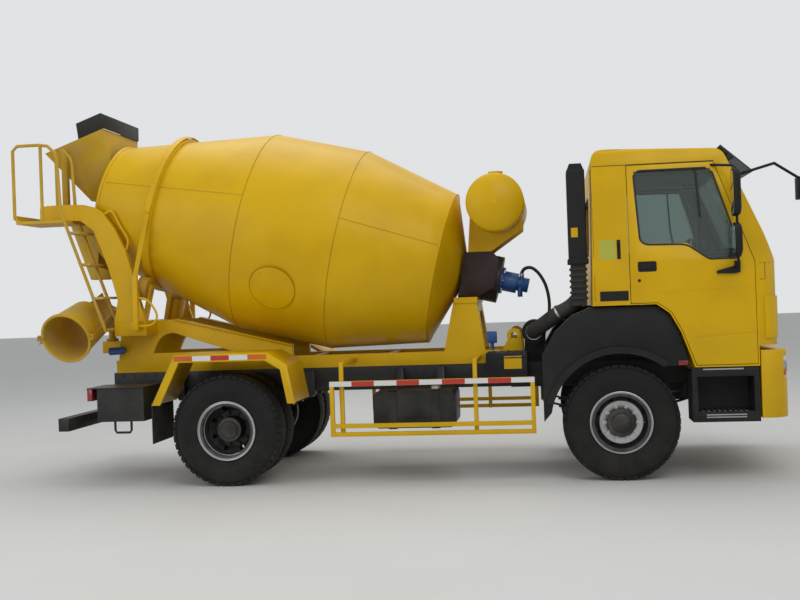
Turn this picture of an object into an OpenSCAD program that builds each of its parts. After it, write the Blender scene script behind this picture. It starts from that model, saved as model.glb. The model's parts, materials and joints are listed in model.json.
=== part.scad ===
// Two-axle cab-over concrete mixer truck.
// X forward, Y to the left, Z up. The modules work in a frame whose X starts at the front axle,
// and from_front_axle() moves each finished node so that the origin is at the middle of the length.

/* [Overall] */
// Distance between the front and the rear axle
wheelbase = 3800; // [3300:10:4500]
// Width of the cab without its mirrors
cab_w = 2496; // [2200:2:2600]
// Reach of the front mirror ahead of the front axle
front_reach = 1760; // [1700:10:1900]
// Reach of the rear platform behind the front axle
rear_reach = 6080; // [5900:10:6300]

/* [Wheels] */
// Outer diameter of a tyre
tyre_d = 1085; // [1000:1:1150]
// Width of a tyre over its sidewalls
tyre_w = 280; // [220:1:290]
// Diameter at which the tyre sits on its rim
rim_d = 514; // [500:1:540]
// Diameter of the rim flange
flange_d = 570; // [560:1:600]
// Width of the rim between its flanges
rim_w = 216; // [180:1:230]
// Distance between the middles of the front tyres
front_track = 2022; // [1950:2:2060]
// Distance between the middles of the twin wheels, left to right
rear_track = 1830; // [1780:2:1850]
// Distance between the two tyres of a twin
twin_gap_c = 332; // [310:1:360]
// Diameter of the wheel spindles
spindle_d = 70; // [50:1:90]
// Running clearance all round a bearing
run_fit = 0.05; // [0.02:0.01:0.1]
// Distance from the middle of a front tyre to its kingpin
kingpin_offset = 151; // [130:1:180]
// Diameter of a kingpin
kingpin_d = 46; // [36:1:60]

/* [Chassis] */
// Width over the frame rails
frame_w = 860; // [800:2:920]
// Height of the top of the frame rails
frame_top = 1090; // [1050:5:1120]
// Depth of a frame rail
rail_h = 240; // [200:5:260]
// Width of a rail flange
rail_flange = 75; // [60:1:90]
// Thickness of a rail
rail_t = 9; // [6:1:12]
// Front end of the rails ahead of the front axle
rail_front = 1130; // [1000:10:1160]
// Rear end of the rails behind the front axle
rail_rear = 5260; // [5150:10:5300]

/* [Drum] */
// Tilt of the drum axis
drum_tilt = 13.5; // [10:0.5:16]
// Distance of the drum flange behind the front axle
drum_front = 1520; // [1480:5:1560]
// Height of the drum axis at its flange
drum_front_h = 2027; // [2000:1:2060]
// Largest diameter of the drum
drum_d = 2140; // [2000:10:2200]
// Diameter of the drum mouth
mouth_d = 1250; // [1100:10:1300]
// Diameter of the drum at its front edge
head_d = 1600; // [1500:10:1700]
// Length of the front head along the axis
head_l = 215; // [150:5:260]
// Length of the front cone along the axis
front_cone_l = 1005; // [900:5:1100]
// Length of the middle cylinder
barrel_l = 1000; // [900:5:1100]
// Length of the rear cone along the axis
rear_cone_l = 1665; // [1500:5:1750]
// Thickness of the drum shell
drum_wall = 8; // [5:1:12]
// Distance of the track ring from the flange along the axis
ring_s = 3220; // [3100:10:3300]
// Outer diameter of the track ring
ring_d = 1700; // [1660:5:1740]
// Width of the track ring
ring_w = 80; // [60:5:110]
// Diameter of a support roller
roller_d = 250; // [200:5:280]
// Length of a support roller
roller_w = 100; // [80:5:120]
// Angle of the rollers from the lowest point of the ring
roller_angle = 33; // [28:1:38]

/* [Cab] */
// Thickness of the cab walls and doors
cab_wall = 45; // [30:1:60]
// Gap round doors and lids
door_gap = 6; // [5:0.5:10]
// Distance of the cab's rear wall behind the front axle
cab_rear = 230; // [200:5:260]
// Height of the cab roof
roof_h = 3100; // [3000:10:3150]
// Height of the waistline under the windows
waist_h = 2040; // [1950:10:2100]

/* [Chute] */
// Distance of the chute's swivel axis behind the front axle
swivel_back = 5450; // [5400:5:5500]
// Height of the chute's tilt pin
chute_pin_h = 1610; // [1560:5:1660]
// Direction of the stowed chute, behind square to the right
chute_swing = 4; // [0:1:15]
// Slope of the stowed chute
chute_slope = 22; // [15:1:30]
// Length of the chute
chute_l = 980; // [850:10:1050]
// Length of the chute's folding extension
extension_l = 500; // [400:10:520]
// Radius of the trough at its upper end
chute_r_top = 205; // [180:5:230]
// Radius of the trough at its outlet
chute_r_out = 255; // [230:5:280]

/* [Hidden] */
$fn = 64;
wheel_h = tyre_d / 2;
x_shift = (rear_reach - front_reach) / 2;
drum_l = head_l + front_cone_l + barrel_l + rear_cone_l;
half_frame = frame_w / 2;
sub_h = 130;
sub_w = 70;
sub_top = frame_top + sub_h;
rail_d = 34;
kingpin_track = front_track - 2 * kingpin_offset;

// Colours of the paint and the main materials
yellow = "#d9a514";
black = "#1d1e20";
steel = "#9a9da0";
maroon = "#3a2422";
blue = "#1f4f86";
glass = "#3b4a50";

// Frames and helpers

module from_front_axle() {
    translate([x_shift, 0, 0]) children();
}

// A block between two limits on each axis
module block(x, y, z) {
    translate([x[0], y[0], z[0]]) cube([x[1] - x[0], y[1] - y[0], z[1] - z[0]]);
}

module both_sides() {
    children();
    mirror([0, 1, 0]) children();
}

// side = 1 is the left, side = -1 the right
module on_side(side) {
    if (side > 0) children();
    else mirror([0, 1, 0]) children();
}

// Extrusions of a drawing in side view, end view and plan
module side_view(y0, y1) {
    translate([0, y1, 0]) rotate([90, 0, 0]) linear_extrude(height = y1 - y0) children();
}

module end_view(x0, x1) {
    translate([x0, 0, 0]) rotate([90, 0, 90]) linear_extrude(height = x1 - x0) children();
}

module plan_view(z0, z1) {
    translate([0, 0, z0]) linear_extrude(height = z1 - z0) children();
}

// A straight round bar between two points
module bar(a, b, d) {
    v = b - a;
    l = norm(v);
    translate(a) rotate([0, acos(v[2] / l), atan2(v[1], v[0])]) cylinder(h = l, d = d, $fn = 24);
}

// A tube frame through a list of points, with a slightly fuller ball at each bend
module tube_run(points, d) {
    for (i = [0:len(points) - 2]) bar(points[i], points[i + 1], d);
    for (i = [1:len(points) - 2]) translate(points[i]) sphere(d = d * 1.06, $fn = 24);
}

// Points of an arc in a drawing
function arc(c, r, a0, a1, n = 6) =
    [for (i = [0:n]) c + r * [cos(a0 + (a1 - a0) * i / n), sin(a0 + (a1 - a0) * i / n)]];

// Chassis

module chassis_frame() color(black) from_front_axle() {
    cross_x = [rail_front - 60, -1100, -1500, -2900, -wheelbase, -rail_rear + 60];
    inner = half_frame - rail_t + 1;
    difference() {
        both_sides() block([-rail_rear, rail_front], [half_frame - rail_flange, half_frame],
            [frame_top - rail_h, frame_top]);
        both_sides() block([-rail_rear - 1, rail_front + 1],
            [half_frame - rail_flange - 1, half_frame - rail_t],
            [frame_top - rail_h + rail_t, frame_top - rail_t]);
    }
    for (x = cross_x) difference() {
        block([x - 40, x + 40], [-inner, inner], [frame_top - rail_h + 50, frame_top - 50]);
        block([x - 32, x + 41], [-inner + 30, inner - 30], [frame_top - rail_h + 58, frame_top - 58]);
    }
    // Hinge tube of the cab on two plates under the rail ends
    both_sides() side_view(half_frame - 20, half_frame) polygon([[rail_front - 90, frame_top - rail_h + 1],
        [rail_front, frame_top - rail_h + 1], [tilt_x + 40, tilt_h], [tilt_x, tilt_h - 45],
        [tilt_x - 45, tilt_h]]);
    translate([tilt_x, 0, tilt_h]) rotate([90, 0, 0])
        cylinder(h = frame_w + 100, d = tilt_d, center = true);
}

// Leaf spring pack: eyes at the ends, seat in the middle on the axle
module leaf_pack(x_mid, z_mid, half_span, drop, leaves, y_mid, w) {
    r = (half_span * half_span + drop * drop) / (2 * drop);
    half_a = asin(half_span / r);
    centre = [x_mid, z_mid + r];
    ends = [for (i = [0:leaves]) i == leaves ? 0 : half_a * (1 - i / (leaves + 1))];
    steps = [for (i = [0:leaves - 1])
        each arc(centre, r + (i + 1) * leaf_t, 270 + ends[i], 270 + ends[i + 1], 3)];
    side_view(y_mid - w / 2, y_mid + w / 2) polygon(concat(
        arc(centre, r, 270 - half_a, 270 + half_a, 16), steps,
        [for (i = [len(steps) - 2:-1:0]) [2 * x_mid - steps[i][0], steps[i][1]]]));
    for (s = [-1, 1]) translate([x_mid + s * half_span, y_mid + w / 2, z_mid + drop + 8])
        rotate([90, 0, 0]) cylinder(h = w, d = 56);
}

module front_axle() color(black) from_front_axle() {
    spring_y = 400;
    leaves = 4;
    spring_low = wheel_h + 45;
    eye_z = spring_low + 118;
    difference() {
        union() {
            block([-45, 45], [-kingpin_track / 2 + 70, kingpin_track / 2 - 70],
                [wheel_h - 75, wheel_h - 5]);
            both_sides() {
                translate([0, kingpin_track / 2, wheel_h - 55]) cylinder(h = 110, d = 100);
                block([-45, 45], [kingpin_track / 2 - 160, kingpin_track / 2 - 20],
                    [wheel_h - 55, wheel_h + 55]);
                block([-75, 75], [spring_y - 42, spring_y + 42],
                    [wheel_h - 30, spring_low - leaves * leaf_t + 8]);
            }
        }
        both_sides() translate([0, kingpin_track / 2, wheel_h - 60])
            cylinder(h = 120, d = kingpin_d + 2 * run_fit);
        block([-30, 46], [-kingpin_track / 2 + 170, kingpin_track / 2 - 170],
            [wheel_h - 62, wheel_h - 32]);
    }
    both_sides() {
        leaf_pack(0, spring_low, 700, 110, leaves, spring_y, 75);
        for (x = [-700, 700])
            block([x - 45, x + 45], [spring_y - 37, spring_y + 37], [eye_z, frame_top - rail_h]);
    }
}

module rear_axle() color(black) from_front_axle() {
    spring_y = 480;
    leaves = 6;
    spring_low = wheel_h + 170;
    eye_z = spring_low + 103;
    hub_in = rear_track / 2 - twin_gap_c / 2 - rim_w / 2 - 12;
    translate([-wheelbase, 0, wheel_h]) {
        intersection() {
            sphere(d = 420);
            cube([300, 400, 460], center = true);
        }
        rotate([90, 0, 0]) cylinder(h = 2 * hub_in, d = 140, center = true);
        rotate([90, 0, 0]) cylinder(h = rear_track + twin_gap_c - 60, d = spindle_d, center = true);
        rotate([0, 90, 0]) cylinder(h = 260, d = 150);
    }
    both_sides() {
        block([-wheelbase - 70, -wheelbase + 70], [spring_y - 42, spring_y + 42],
            [wheel_h + 40, spring_low - leaves * leaf_t + 8]);
        leaf_pack(-wheelbase, spring_low, 700, 95, leaves, spring_y, 80);
        for (x = [-700, 700])
            block([-wheelbase + x - 45, -wheelbase + x + 45], [half_frame, spring_y + 40],
                [eye_z, frame_top - 30]);
    }
}

module engine_block() color("#3c3f42") from_front_axle() {
    foot = frame_top - rail_h + rail_t;
    block([-300, 780], [-310, 310], [760, 1490]);
    block([-1050, -299], [-190, 190], [820, 1200]);
    both_sides() {
        block([500, 600], [309, half_frame - 20], [foot, foot + 80]);
        block([-900, -800], [189, half_frame - 20], [foot, foot + 80]);
    }
}

module fuel_tank() color(black) from_front_axle() {
    tank_x = [-2360, -1560];
    side_view(-1060, -500) translate([tank_x[0], 520])
        polygon(concat(arc([60, 60], 60, 180, 270), arc([740, 60], 60, 270, 360),
            arc([740, 300], 60, 0, 90), arc([60, 300], 60, 90, 180)));
    for (x = [tank_x[0] + 150, tank_x[1] - 230])
        block([x, x + 80], [-500, -half_frame], [600, frame_top - 20]);
}

module battery_box() color(black) from_front_axle() {
    block([-1260, -860], [-900, -470], [940, 1210]);
    for (x = [-1220, -940]) block([x, x + 40], [-470, -half_frame], [960, 1060]);
}

// Fenders

fender_y = [790, 1200];
arch_r = 650;

module front_fender_outline(inset = 0) {
    offset(delta = -inset) polygon([[-714, 570], [-714, 1190], [-600, 1390], [-430, 1550], [-250, 1625],
        [345, 1625], [462, 1535], [550, 1368], [610, 1165], [625, 1066], [400, 1066], [0, 800],
        [-600, 700]]);
}

module front_fenders() color(black) from_front_axle() both_sides() {
    difference() {
        union() {
            side_view(fender_y[1] - 30, fender_y[1]) front_fender_outline();
            difference() {
                side_view(fender_y[0], fender_y[1] - 29) front_fender_outline();
                side_view(fender_y[0] - 1, fender_y[1] - 30) difference() {
                    front_fender_outline(22);
                    translate([0, wheel_h]) circle(r = arch_r + 22, $fn = 96);
                }
            }
        }
        side_view(fender_y[0] - 2, fender_y[1] + 1) translate([0, wheel_h]) circle(r = arch_r, $fn = 96);
    }
    block([-712, -660], [half_frame, fender_y[0] + 10], [960, 1010]);
}

rear_fender_points = [[-735, 810], [-490, 1300], [440, 1300], [640, 1180], [710, 802]];

module rear_fenders() color(yellow) from_front_axle() both_sides() translate([-wheelbase, 0, 0]) {
    sheet = 30;
    side_view(620, 1250) difference() {
        polygon(rear_fender_points);
        offset(delta = -sheet) polygon(concat([[-900, 500]], rear_fender_points, [[900, 500]]));
        polygon([[-1000, 0], [-1000, 812], [1000, 812], [1000, 0]]);
    }
    side_view(1250 - sheet, 1250) difference() {
        polygon(rear_fender_points);
        offset(delta = -75) polygon(concat([[-1100, 300]], rear_fender_points, [[1100, 300]]));
    }
    for (x = [-300, 250]) block([x, x + 50], [half_frame, 700], [1225, 1271]);
}

module mudflaps() color(black) from_front_axle() both_sides()
    block([-wheelbase - 745, -wheelbase - 735], [640, 1230], [430, 840]);

// Side guards: frames of square tube hung from the sub-frame

guard_x = [-2750, -790];
guard_z = [470, 1000];
guard_y = 1236;

module side_guards() color(yellow) from_front_axle() both_sides() {
    tube = 40;
    y_in = guard_y - tube;
    block(guard_x, [y_in, guard_y], [guard_z[1] - 50, guard_z[1]]);
    for (z = [guard_z[0], guard_z[0] + 80]) block(guard_x, [y_in, guard_y], [z, z + tube]);
    for (x = [guard_x[0], guard_x[1] - tube])
        block([x, x + tube], [y_in, guard_y], [guard_z[0], guard_z[1]]);
    for (x = [guard_x[0] + 90, -1370]) {
        block([x, x + tube], [y_in - tube, y_in], [guard_z[0], 1180]);
        block([x, x + tube], [half_frame, y_in], [1140, 1180]);
    }
}

module rear_bumper() color(black) from_front_axle() {
    block([-5560, -5450], [-1150, 1150], [560, 690]);
    both_sides() {
        block([-5450, -5230], [330, 410], [600, 690]);
        block([-5310, -5230], [330, 410], [690, frame_top - rail_h]);
    }
}

module chassis_lamps() color("#8a1512") from_front_axle() {
    both_sides() {
        block([-5240, -5190], [880, 1160], [860, 980]);
        block([-5235, -5195], [half_frame, 880], [900, 940]);
        block([530, 615], [fender_y[1], fender_y[1] + 12], [1072, 1112]);
    }
}

module intake_stack() color(black) from_front_axle() {
    block([-430, -260], [-1130, -850], [1650, 2930]);
    side_view(-1130, -850) polygon([[-430, 2929], [-260, 2929], [-290, 2985], [-400, 2985]]);
    tube_run([[-345, -990, 1720], [-600, -900, 1560], [-900, -650, 1400]], 150);
    translate([-900, -330, 1400]) rotate([90, 0, 0]) cylinder(h = 420, d = 300);
    block([-1000, -800], [-428, -340], [frame_top, 1300]);
}

// Drum frame: sub-frame beams, front pedestal, rear pedestal with arms

function drum_point(s) =
    [-drum_front - s * cos(drum_tilt), 0, drum_front_h + s * sin(drum_tilt)];

// The frame whose Z runs backwards along the drum axis
module on_drum_axis(s = 0) {
    translate([-drum_front, 0, drum_front_h]) rotate([0, drum_tilt - 90, 0]) translate([0, 0, s])
        children();
}

ring_c = drum_point(ring_s);
roller_reach = (ring_d + roller_d) / 2 + 0.3;
roller_off = roller_reach * sin(roller_angle);
pedestal_top = 1765;
rear_beam_top = 1640;
arm_y = [680, 740];
arm_top = 2850;
strap_foot_z = 2110;
rear_beam_x = [-5105, -4760];
gearbox_d = 490;
swivel_d = 80;
leaf_t = 16;
// Hinge of the cab on the front of the frame
tilt_x = 1150;
tilt_h = 800;
tilt_d = 60;

module drum_frame() color(yellow) from_front_axle() {
    beam_y = [half_frame - sub_w, half_frame];
    both_sides() block([-5230, -1150], beam_y, [frame_top, sub_top]);
    for (x = [-1500, -2300, -3100, -4700, -5180])
        block([x - 40, x + 40], [-half_frame + sub_w - 1, half_frame - sub_w + 1],
            [frame_top, sub_top - 10]);
    // Front pedestal, a portal with tapered legs
    difference() {
        side_view(-half_frame, half_frame)
            polygon([[-1710, sub_top - 1], [-1290, sub_top - 1], [-1370, pedestal_top],
                [-1590, pedestal_top]]);
        end_view(-1800, -1200) polygon([[-320, sub_top - 2], [320, sub_top - 2], [260, 1560],
            [180, 1620], [-180, 1620], [-260, 1560]]);
        on_drum_axis(-400) cylinder(h = 400, d = gearbox_d);
    }
    // Rear pedestal, two plates with a forward brace and an arched cut-out
    both_sides() side_view(beam_y[0], beam_y[1]) difference() {
        polygon([[-5200, sub_top - 1], [-3300, sub_top - 1], [-3300, sub_top + 110],
            [-4560, 1640], [-5150, 1640]]);
        polygon(concat([[-4820, sub_top + 70]], arc([-4600, sub_top + 90], 190, 150, 60, 6),
            [[-3950, sub_top + 70]]));
    }
    block(rear_beam_x, [-arm_y[1], arm_y[1]], [rear_beam_top - 150, rear_beam_top]);
    // Arms that rise outside the drum and carry the platform
    both_sides() side_view(arm_y[0], arm_y[1]) polygon([[rear_beam_x[0], rear_beam_top - 1],
        [rear_beam_x[1], rear_beam_top - 1], [-4800, 1760], [-4835, 1880], [-4905, 2190], [-5010, 2420],
        [-5220, 2730], [-5380, arm_top], [-5870, arm_top], [-5870, arm_top - 140],
        [-5440, arm_top - 140], [-5300, 2600], [-5150, 2200], [-5060, 1870]]);
    // Roller bearings, two cheeks before and behind each roller
    both_sides() on_drum_axis(ring_s) for (s = [-1, 1])
        translate([-roller_reach * cos(roller_angle), roller_off, s * (roller_w / 2 + 20)])
            difference() {
                union() {
                    cylinder(h = 24, d = 110, center = true);
                    translate([-390, -55, -12]) cube([390, 110, 24]);
                }
                cylinder(h = 26, d = 60 + 2 * run_fit, center = true);
            }
    // Posts of the hold-down strap
    both_sides() {
        block([-4880, -4790], [arm_y[1] - 1, 885], [rear_beam_top - 90, rear_beam_top]);
        block([-4840, -4790], [845, 885], [rear_beam_top - 1, strap_foot_z]);
    }
    // Bearing of the chute's swivel post
    difference() {
        block([-swivel_back - 80, -5100], [-90, 90], [1290, 1420]);
        translate([-swivel_back, 0, 1280]) cylinder(h = 150, d = swivel_d + 2 * run_fit);
    }
    block([-5200, -5100], [-91, 91], [frame_top + 20, 1420]);
}

module drum_gearbox() color(maroon) from_front_axle() {
    both_sides() side_view(240, 300)
        polygon([[-1560, pedestal_top], [-1370, pedestal_top], [-1180, 1860], [-1130, 2140],
            [-1200, 2230], [-1480, 2230], [-1530, 1935]]);
    block([-1560, -1370], [-300, 300], [pedestal_top, pedestal_top + 40]);
    on_drum_axis() translate([0, 0, -60]) cylinder(h = 59.7, d = 420);
    on_drum_axis(-400) cylinder(h = 345, d = gearbox_d);
}

module hydraulic_motor() color(blue) from_front_axle() {
    on_drum_axis() translate([0, 0, -700]) {
        translate([0, 0, 120]) cylinder(h = 180, d = 210);
        cylinder(h = 125, d = 150);
    }
    for (y = [-45, 45]) translate([-930, y, 1750]) cylinder(h = 100, d = 50);
}

module hydraulic_hoses() color(black) from_front_axle() {
    for (y = [-45, 45]) translate([-930, y, 1200]) cylinder(h = 550, d = 34);
}

module water_tank() color(yellow) from_front_axle() {
    tank_c = [-1130, 2700];
    tank_r = 288;
    translate([tank_c[0], 0, tank_c[1]]) rotate([90, 0, 0]) {
        cylinder(h = 1400, r = tank_r, center = true, $fn = 96);
        for (s = [-1, 1]) intersection() {
            translate([0, 0, s * 350]) sphere(r = 455, $fn = 96);
            translate([0, 0, s * (700 + 60)]) cylinder(h = 122, r = tank_r - 2, center = true);
        }
    }
    both_sides() side_view(240, 300) difference() {
        polygon([[-1440, 2230], [-1200, 2230], [-880, 2450], [-860, 2700], [-1400, 2700]]);
        translate(tank_c) circle(r = tank_r - 1, $fn = 96);
    }
}

// Strap over the track ring, held by a turnbuckle each side
module hold_down_strap() color(yellow) from_front_axle() {
    strap_r = ring_d / 2 + 12;
    on_drum_axis(ring_s) difference() {
        cylinder(h = 60, r = strap_r + 8, center = true, $fn = 128);
        cylinder(h = 62, r = strap_r, center = true, $fn = 128);
        translate([-1500, 0, 0]) cube([3000, 3000, 100], center = true);
    }
    both_sides() difference() {
        on_drum_axis(ring_s) translate([0, strap_r + 4, 0]) {
            translate([-760, -4, -25]) cube([761, 8, 50]);
            translate([-30, -4, -30]) cube([60, 24, 60]);
        }
        block([-5200, -4400], [500, 1200], [strap_foot_z - 300, strap_foot_z]);
    }
}

module rear_platform() color(yellow) from_front_axle() {
    floor_z = arm_top;
    rail_z = 3490;
    plat_y = [-950, arm_y[1]];
    near = plat_y[0] + 20;
    far = near + 350;
    foot = [-5130, 1560];
    lean = 0.35;
    rear_x = -rear_reach + 1.06 * rail_d / 2;
    block([-6030, -5560], plat_y, [floor_z, floor_z + 30]);
    tube_run([[-6000, near, floor_z + 15], [rear_x, near, floor_z + 60], [rear_x, near, rail_z],
        [-5760, near, rail_z], [-5600, near, 3370], [-5560, near, floor_z - 60],
        [foot[0], near, foot[1]], [foot[0], far, foot[1]], [-5560, far, floor_z - 60],
        [-5600, far, 3370], [-5760, far, rail_z], [-5760, far, floor_z + 15]], rail_d);
    bar([-5760, near, floor_z + 15], [-5760, near, rail_z], rail_d);
    block([foot[0], rear_beam_x[0]], [-arm_y[1] + 20, far - 10], [foot[1] - 15, foot[1] + 15]);
    for (z = [1880, 2230, 2560]) {
        x = foot[0] - (z - foot[1]) * lean;
        block([x - 20, x + 110], [near, far], [z, z + 25]);
    }
}

// Charging hopper: outer form less inner form, both the meeting of two tapered extrusions
hopper_wall = 8;
lip_h = 160;
lip_rear = 5560;

// rise lifts the upper edge, for the rubber lip above it
module hopper_form(inset, rise) {
    intersection() {
        side_view(-700, 700) offset(delta = -inset) polygon([[-5960, 3480 + rise], [-5270, 3700 + rise],
            [-5200, 3100], [-5190, 2960], [-5300, 2900], [-5520, 2960]]);
        end_view(-6200, -5000) offset(delta = -inset)
            polygon([[-586, 4060], [586, 4060], [240, 2850], [-240, 2850]]);
    }
}

module charge_hopper() color(yellow) from_front_axle() {
    difference() {
        union() {
            hopper_form(0, 0);
            both_sides() block([-5760, -5700], [400, 460], [arm_top + 30, 3500]);
        }
        hopper_form(hopper_wall, 60);
        side_view(-700, 700) polygon([[-5540, 2930], [-5505, 2980], [-5300, 2922], [-5205, 2972],
            [-5150, 2960], [-5300, 2850]]);
    }
}

function hopper_edge(x) = 3480 + (x + 5960) * 220 / 690;

module hopper_lip() color(black) from_front_axle() intersection() {
    difference() {
        hopper_form(0, lip_h);
        hopper_form(hopper_wall, lip_h + 60);
    }
    side_view(-700, 700) polygon([[-lip_rear, hopper_edge(-lip_rear)], [-5270, hopper_edge(-5270)],
        [-5100, hopper_edge(-5270)], [-5100, 4000], [-lip_rear, 4000]]);
}

// Collector under the drum mouth, a cone shell cut clear of the drum
module discharge_funnel() color(yellow) from_front_axle() {
    funnel_x = -5470;
    difference() {
        union() {
            translate([funnel_x, 0, 2110]) cylinder(h = 650, r1 = 190, r2 = 400, $fn = 96);
            block([funnel_x, funnel_x + 60], [-arm_y[0], arm_y[0]], [2715, 2760]);
        }
        translate([funnel_x, 0, 2109]) cylinder(h = 652, r1 = 181, r2 = 392, $fn = 96);
        on_drum_axis(drum_l - 900) cylinder(h = 925, r = mouth_d / 2 + 130, $fn = 96);
    }
}

// Wheels

module tyre_profile() {
    half = tyre_w / 2;
    bead = rim_w / 2 - 2.3;
    r_out = tyre_d / 2;
    r_in = rim_d / 2;
    flange_r = flange_d / 2;
    shape = [[flange_r + 2, bead], [(r_in + r_out) / 2, half], [r_out - 50, half - 12],
        [r_out - 10, half - 32], [r_out, half - 55]];
    polygon(concat([[r_in, -bead]], [for (p = shape) [p[0], -p[1]]],
        [for (i = [len(shape) - 1:-1:0]) shape[i]], [[r_in, bead]]));
}

// Axis along Y, outer side towards +Y
module tyre_at(y) color(black) translate([0, y, wheel_h]) rotate([-90, 0, 0]) rotate_extrude($fn = 96)
    tyre_profile();

// Rim barrel, bead flanges, dished disc and studs; dish < 0 sits inwards
module rim_at(y, dish, edge) {
    half = rim_w / 2;
    r_in = rim_d / 2;
    lean = dish > 0 ? 1 : -1;
    color(steel) translate([0, y, wheel_h]) rotate([-90, 0, 0]) {
        difference() {
            cylinder(h = rim_w, r = r_in, center = true, $fn = 96);
            cylinder(h = rim_w + 2, r = r_in - 12, center = true, $fn = 96);
        }
        for (s = [-1, 1]) translate([0, 0, s * (half + 4)]) difference() {
            cylinder(h = 12, d = flange_d, center = true, $fn = 96);
            cylinder(h = 14, r = r_in - 12, center = true, $fn = 96);
        }
        difference() {
            rotate_extrude($fn = 96) polygon([[90, dish - 7], [180, dish - 7], [r_in - 6, edge - 7],
                [r_in - 6, edge + 7], [180, dish + 7], [90, dish + 7]]);
            for (i = [0:7]) rotate([0, 0, i * 45 + 22]) translate([212, 0, -200])
                cylinder(h = 400, d = 46);
        }
        for (i = [0:9]) rotate([0, 0, i * 36]) translate([143, 0, dish + (lean < 0 ? -40 : 0)])
            cylinder(h = 40, d = 28, $fn = 16);
    }
}

// Hub with a blind bearing bore, from y0 to y1 along the axle
module hub(y0, y1) color(steel) translate([0, y0, wheel_h]) rotate([-90, 0, 0]) difference() {
    cylinder(h = y1 - y0, d = 236);
    translate([0, 0, -1]) cylinder(h = y1 - y0 - 14, d = spindle_d + 2 * run_fit);
}

module knuckle(side) color(black) from_front_axle() on_side(side) {
    k = kingpin_track / 2;
    translate([0, k, wheel_h]) {
        cylinder(h = 200, d = kingpin_d, center = true);
        for (s = [-1, 1]) translate([0, 0, s * 80]) cylinder(h = 44, d = 100, center = true);
    }
    difference() {
        translate([0, k + 30, wheel_h]) cube([100, 70, 204], center = true);
        translate([0, k, wheel_h]) cylinder(h = 116, d = 106, center = true);
    }
    translate([0, k + 60, wheel_h]) rotate([-90, 0, 0]) cylinder(h = front_track / 2 - k + 50, d = spindle_d);
}

module front_wheel(side) from_front_axle() on_side(side) {
    rim_at(front_track / 2, 62, 20);
    hub(front_track / 2 - 60, front_track / 2 + 130);
}

module rear_wheels(side) from_front_axle() translate([-wheelbase, 0, 0]) on_side(side) {
    inner = rear_track / 2 - twin_gap_c / 2;
    meet = twin_gap_c / 2 - 8;
    rim_at(inner, meet, 90);
    rim_at(inner + twin_gap_c, -meet, -90);
    hub(inner - rim_w / 2 - 10, inner + twin_gap_c + 20);
}

module front_tyre(side) from_front_axle() on_side(side) tyre_at(front_track / 2);

module rear_tyres(side) from_front_axle() translate([-wheelbase, 0, 0]) on_side(side)
    for (s = [-1, 1]) tyre_at(rear_track / 2 + s * twin_gap_c / 2);

// Drum

function drum_profile(inset) = [[0, 200 - inset], [head_l, head_d / 2 - inset],
    [head_l + front_cone_l, drum_d / 2 - inset], [head_l + front_cone_l + barrel_l, drum_d / 2 - inset],
    [drum_l, mouth_d / 2 - inset]];

module drum_shell() color(yellow) from_front_axle() on_drum_axis() {
    difference() {
        union() {
            rotate_extrude($fn = 128) polygon(concat([[0, 0]],
                [for (p = drum_profile(0)) [p[1], p[0]]], [[0, drum_l]]));
            translate([0, 0, drum_l - 30]) cylinder(h = 30, d = mouth_d + 36, $fn = 128);
            translate([0, 0, ring_s - ring_w / 2]) cylinder(h = ring_w, d = ring_d, $fn = 128);
        }
        rotate_extrude($fn = 128) polygon(concat([[0, 20]],
            [for (p = drum_profile(drum_wall)) [p[1], p[0] + (p[0] == 0 ? 20 : 0)]], [[0, drum_l + 1]]));
        translate([0, 0, drum_l - 1]) cylinder(h = 3, r = mouth_d / 2 - drum_wall);
    }
}

module roller(side) color(steel) from_front_axle() on_drum_axis(ring_s)
    translate([-roller_reach * cos(roller_angle), side * roller_off, 0]) {
        cylinder(h = roller_w, d = roller_d, center = true);
        cylinder(h = roller_w + 80, d = 60, center = true);
    }

// Chute

module on_chute() {
    translate([-swivel_back, 0, chute_pin_h]) rotate([0, 0, -90 - chute_swing]) rotate([0, chute_slope, 0])
        children();
}

module chute_swivel() color(yellow) from_front_axle() {
    translate([-swivel_back, 0, 1290]) cylinder(h = 280, d = swivel_d);
    translate([-swivel_back, 0, 1421]) cylinder(h = 30, d = 130);
    translate([-swivel_back, 0, chute_pin_h]) rotate([0, 0, -90 - chute_swing]) difference() {
        union() {
            translate([-40, -45, -60]) cube([80, 90, 60]);
            rotate([90, 0, 0]) cylinder(h = 90, d = 80, center = true);
        }
        rotate([90, 0, 0]) cylinder(h = 100, d = chute_pin_d + 2 * run_fit, center = true);
    }
}

module trough(r1, r2, l, wall) {
    rotate([0, 90, 0]) difference() {
        cylinder(h = l, r1 = r1, r2 = r2, $fn = 96);
        translate([0, 0, -1]) cylinder(h = l + 2, r1 = r1 - wall, r2 = r2 - wall, $fn = 96);
    }
}

chute_lift = 265;
chute_tail = 300;
chute_pin_d = 40;

// Hinge line between the chute and its extension
rim_r = chute_r_out + 14;
fold_u = chute_l + 5;
fold_y = rim_r + 3;
fold_pin_d = 16;

module main_chute() color(yellow) from_front_axle() on_chute() {
    difference() {
        translate([-chute_tail, 0, chute_lift]) union() {
            trough(chute_r_top, chute_r_out, chute_l + chute_tail, 10);
            translate([chute_l + chute_tail - 30, 0, 0])
                trough(rim_r, rim_r, 30, 24);
        }
        translate([-500, -500, chute_lift - 3]) cube([2500, 1000, 600]);
    }
    rotate([90, 0, 0]) cylinder(h = 150, d = chute_pin_d, center = true);
    for (s = [-1, 1]) translate([-40, s * 62 - 12, -30]) cube([80, 24, 92]);
    // Hinge pins of the extension
    both_sides() {
        block([chute_l - 30, fold_u], [rim_r - 10, fold_y + 22], [chute_lift - 25, chute_lift - 3]);
        translate([fold_u, fold_y + 42, chute_lift]) rotate([90, 0, 0]) {
            cylinder(h = 42, d = fold_pin_d);
            translate([0, 0, 20]) cylinder(h = 22, d = 24);
        }
    }
}

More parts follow.
